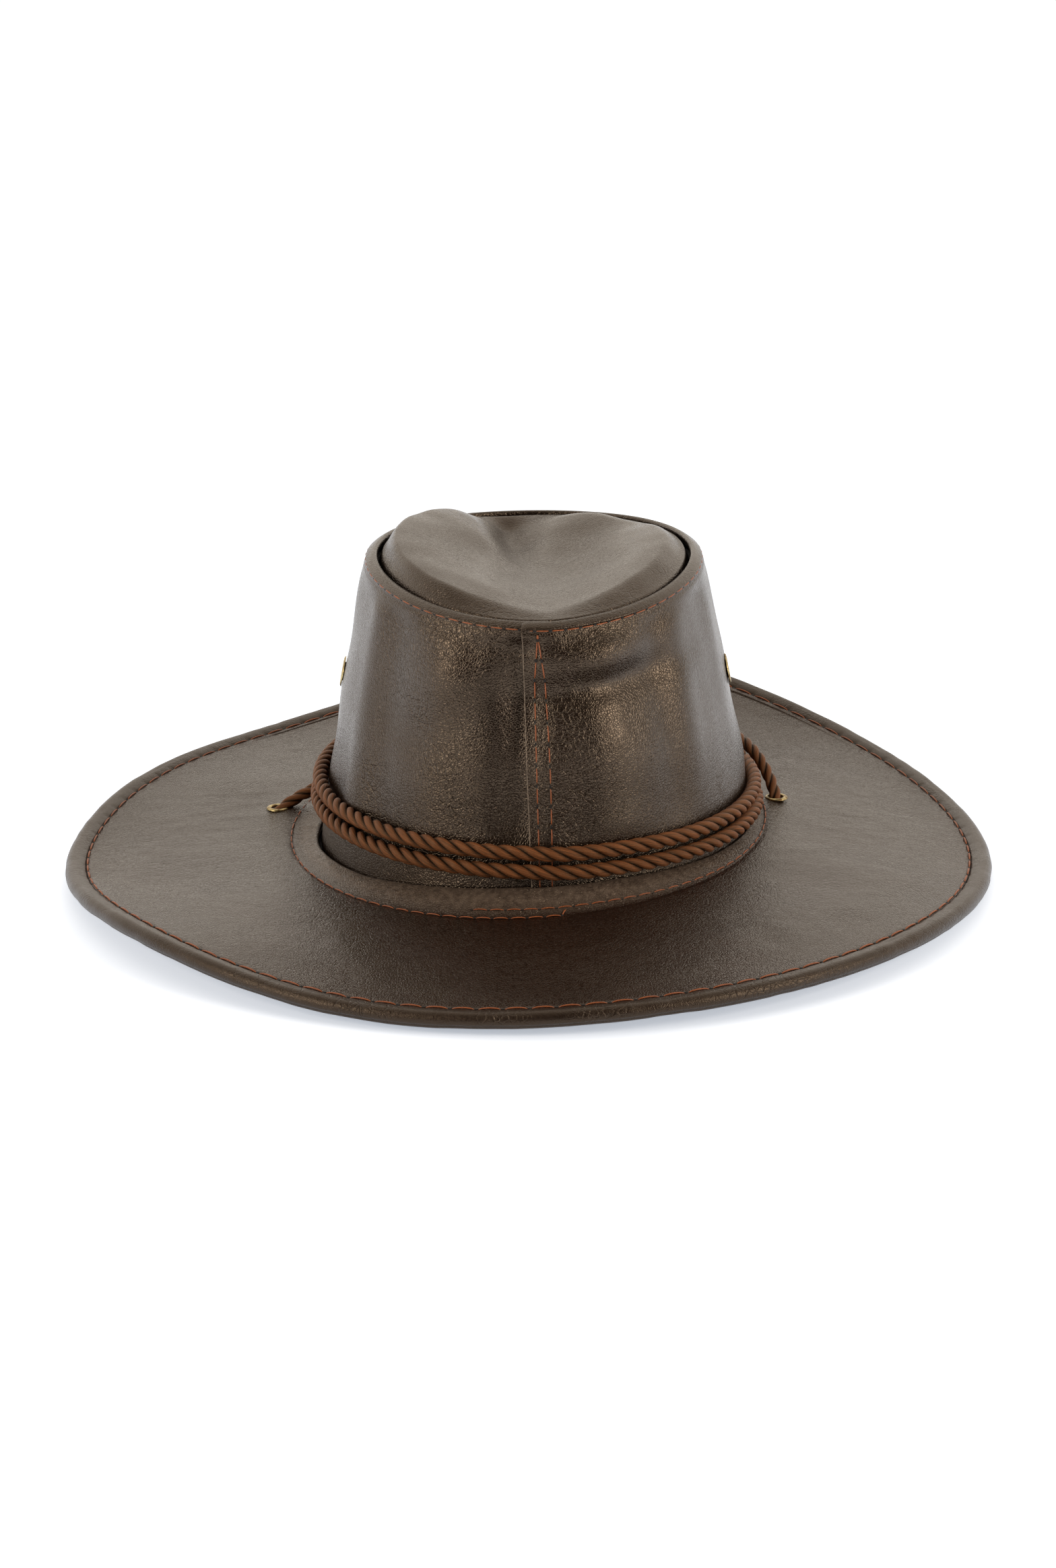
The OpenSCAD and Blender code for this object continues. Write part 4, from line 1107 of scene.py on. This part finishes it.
def make_camera():
    """A long lens behind the hat and a little above it, with a trace of roll."""
    look = CAMERA_UP - CAMERA_TIP
    forward = Vector((0, math.cos(look), -math.sin(look)))
    up = Vector((0, math.sin(look), math.cos(look)))
    right = Vector(ACROSS)
    sine, cosine = math.sin(CAMERA_ROLL), math.cos(CAMERA_ROLL)
    right, up = right * cosine + up * sine, up * cosine - right * sine
    data = bpy.data.cameras.new("camera")
    data.lens = CAMERA_LENS
    data.sensor_width = 36
    camera = bpy.data.objects.new("camera", data)
    bpy.context.scene.collection.objects.link(camera)
    camera.matrix_world = Matrix((right, up, -forward)).transposed().to_4x4()
    camera.location = CAMERA_AIM - Vector((0, math.cos(CAMERA_UP), -math.sin(CAMERA_UP))) * CAMERA_FAR
    bpy.context.scene.camera = camera


def area_light(name, place, size, power):
    """A soft box that shines on the middle of the hat."""
    data = bpy.data.lights.new(name, "AREA")
    data.shape = "RECTANGLE"
    data.size, data.size_y = size
    data.energy = power
    data.color = WARM_WHITE
    lamp = bpy.data.objects.new(name, data)
    bpy.context.scene.collection.objects.link(lamp)
    lamp.location = place
    lamp.rotation_euler = (Vector((0, 0, 0.08)) - lamp.location).to_track_quat("-Z", "Y").to_euler()


def make_sky():
    """An even white sky that is darker behind the camera."""
    world = bpy.data.worlds.new("studio")
    world.use_nodes = True
    bpy.context.scene.world = world
    tree = world.node_tree
    split = add_node(tree, "SeparateXYZ", Vector=add_node(tree, "TexCoord").outputs["Generated"])
    shift = add_node(tree, "MapRange", Value=split.outputs["Y"], From_Min=-1)
    ramp = add_node(tree, "ValToRGB")
    put(tree, ramp.inputs[0], shift.outputs[0])
    ramp.color_ramp.interpolation = "EASE"
    stops = ramp.color_ramp.elements
    for place, bright in SKY:
        stop = stops[-int(place)] if place in (0, 1) else stops.new(place)
        stop.color = (*(bright * c for c in WARM_WHITE), 1)
    put(tree, tree.nodes["Background"].inputs["Color"], ramp.outputs[0])


def make_floor():
    """A wide white floor, a little bluer and brighter than the sky alone would make it."""
    look = Shader("studio_floor", (0.86, 0.9, 0.97), 0.7, Emission_Color=(0.82, 0.89, 1, 1),
                  Emission_Strength=0.5)
    look.colour(look.blend(look.noise(3, 2), (0.85, 0.89, 0.965), (0.87, 0.91, 0.975)))
    bpy.ops.mesh.primitive_grid_add(x_subdivisions=4, y_subdivisions=4, size=24, location=(0, 6, -0.0005))
    floor = bpy.context.object
    floor.name = "studio_floor"
    floor.data.materials.append(look.material)


def keep_cad_nodes():
    """Layers that the leather covers keep their CAD shapes and get their own materials."""
    for node, look in (("brim_edge_wire", wire_material()), ("crown_seam_binding", TAPE_LOOK)):
        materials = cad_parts[node].data.materials
        materials.clear()
        materials.append(look)


# --- Everything in order -----------------------------------------------------------------------
make_camera()
cords, left_line, right_line = make_cords()
knot = make_knot()
tails = make_tails()
make_slider()
make_brim_top()
make_brim_bottom()
make_brim_roll()
make_stiffener()
make_under_tape()
make_crown_wall()
make_crown_tip()
make_lining()
make_sweatband()
make_brass()
make_brim_stitching()
make_crown_stitching()
keep_cad_nodes()
bpy.context.scene.view_settings.view_transform = "Standard"
make_sky()
area_light("left_box", (-1.2, -0.85, 0.66), (0.75, 0.8), 11.5)
area_light("right_box", (1.25, -0.75, 0.62), (0.7, 0.8), 12.5)
make_floor()
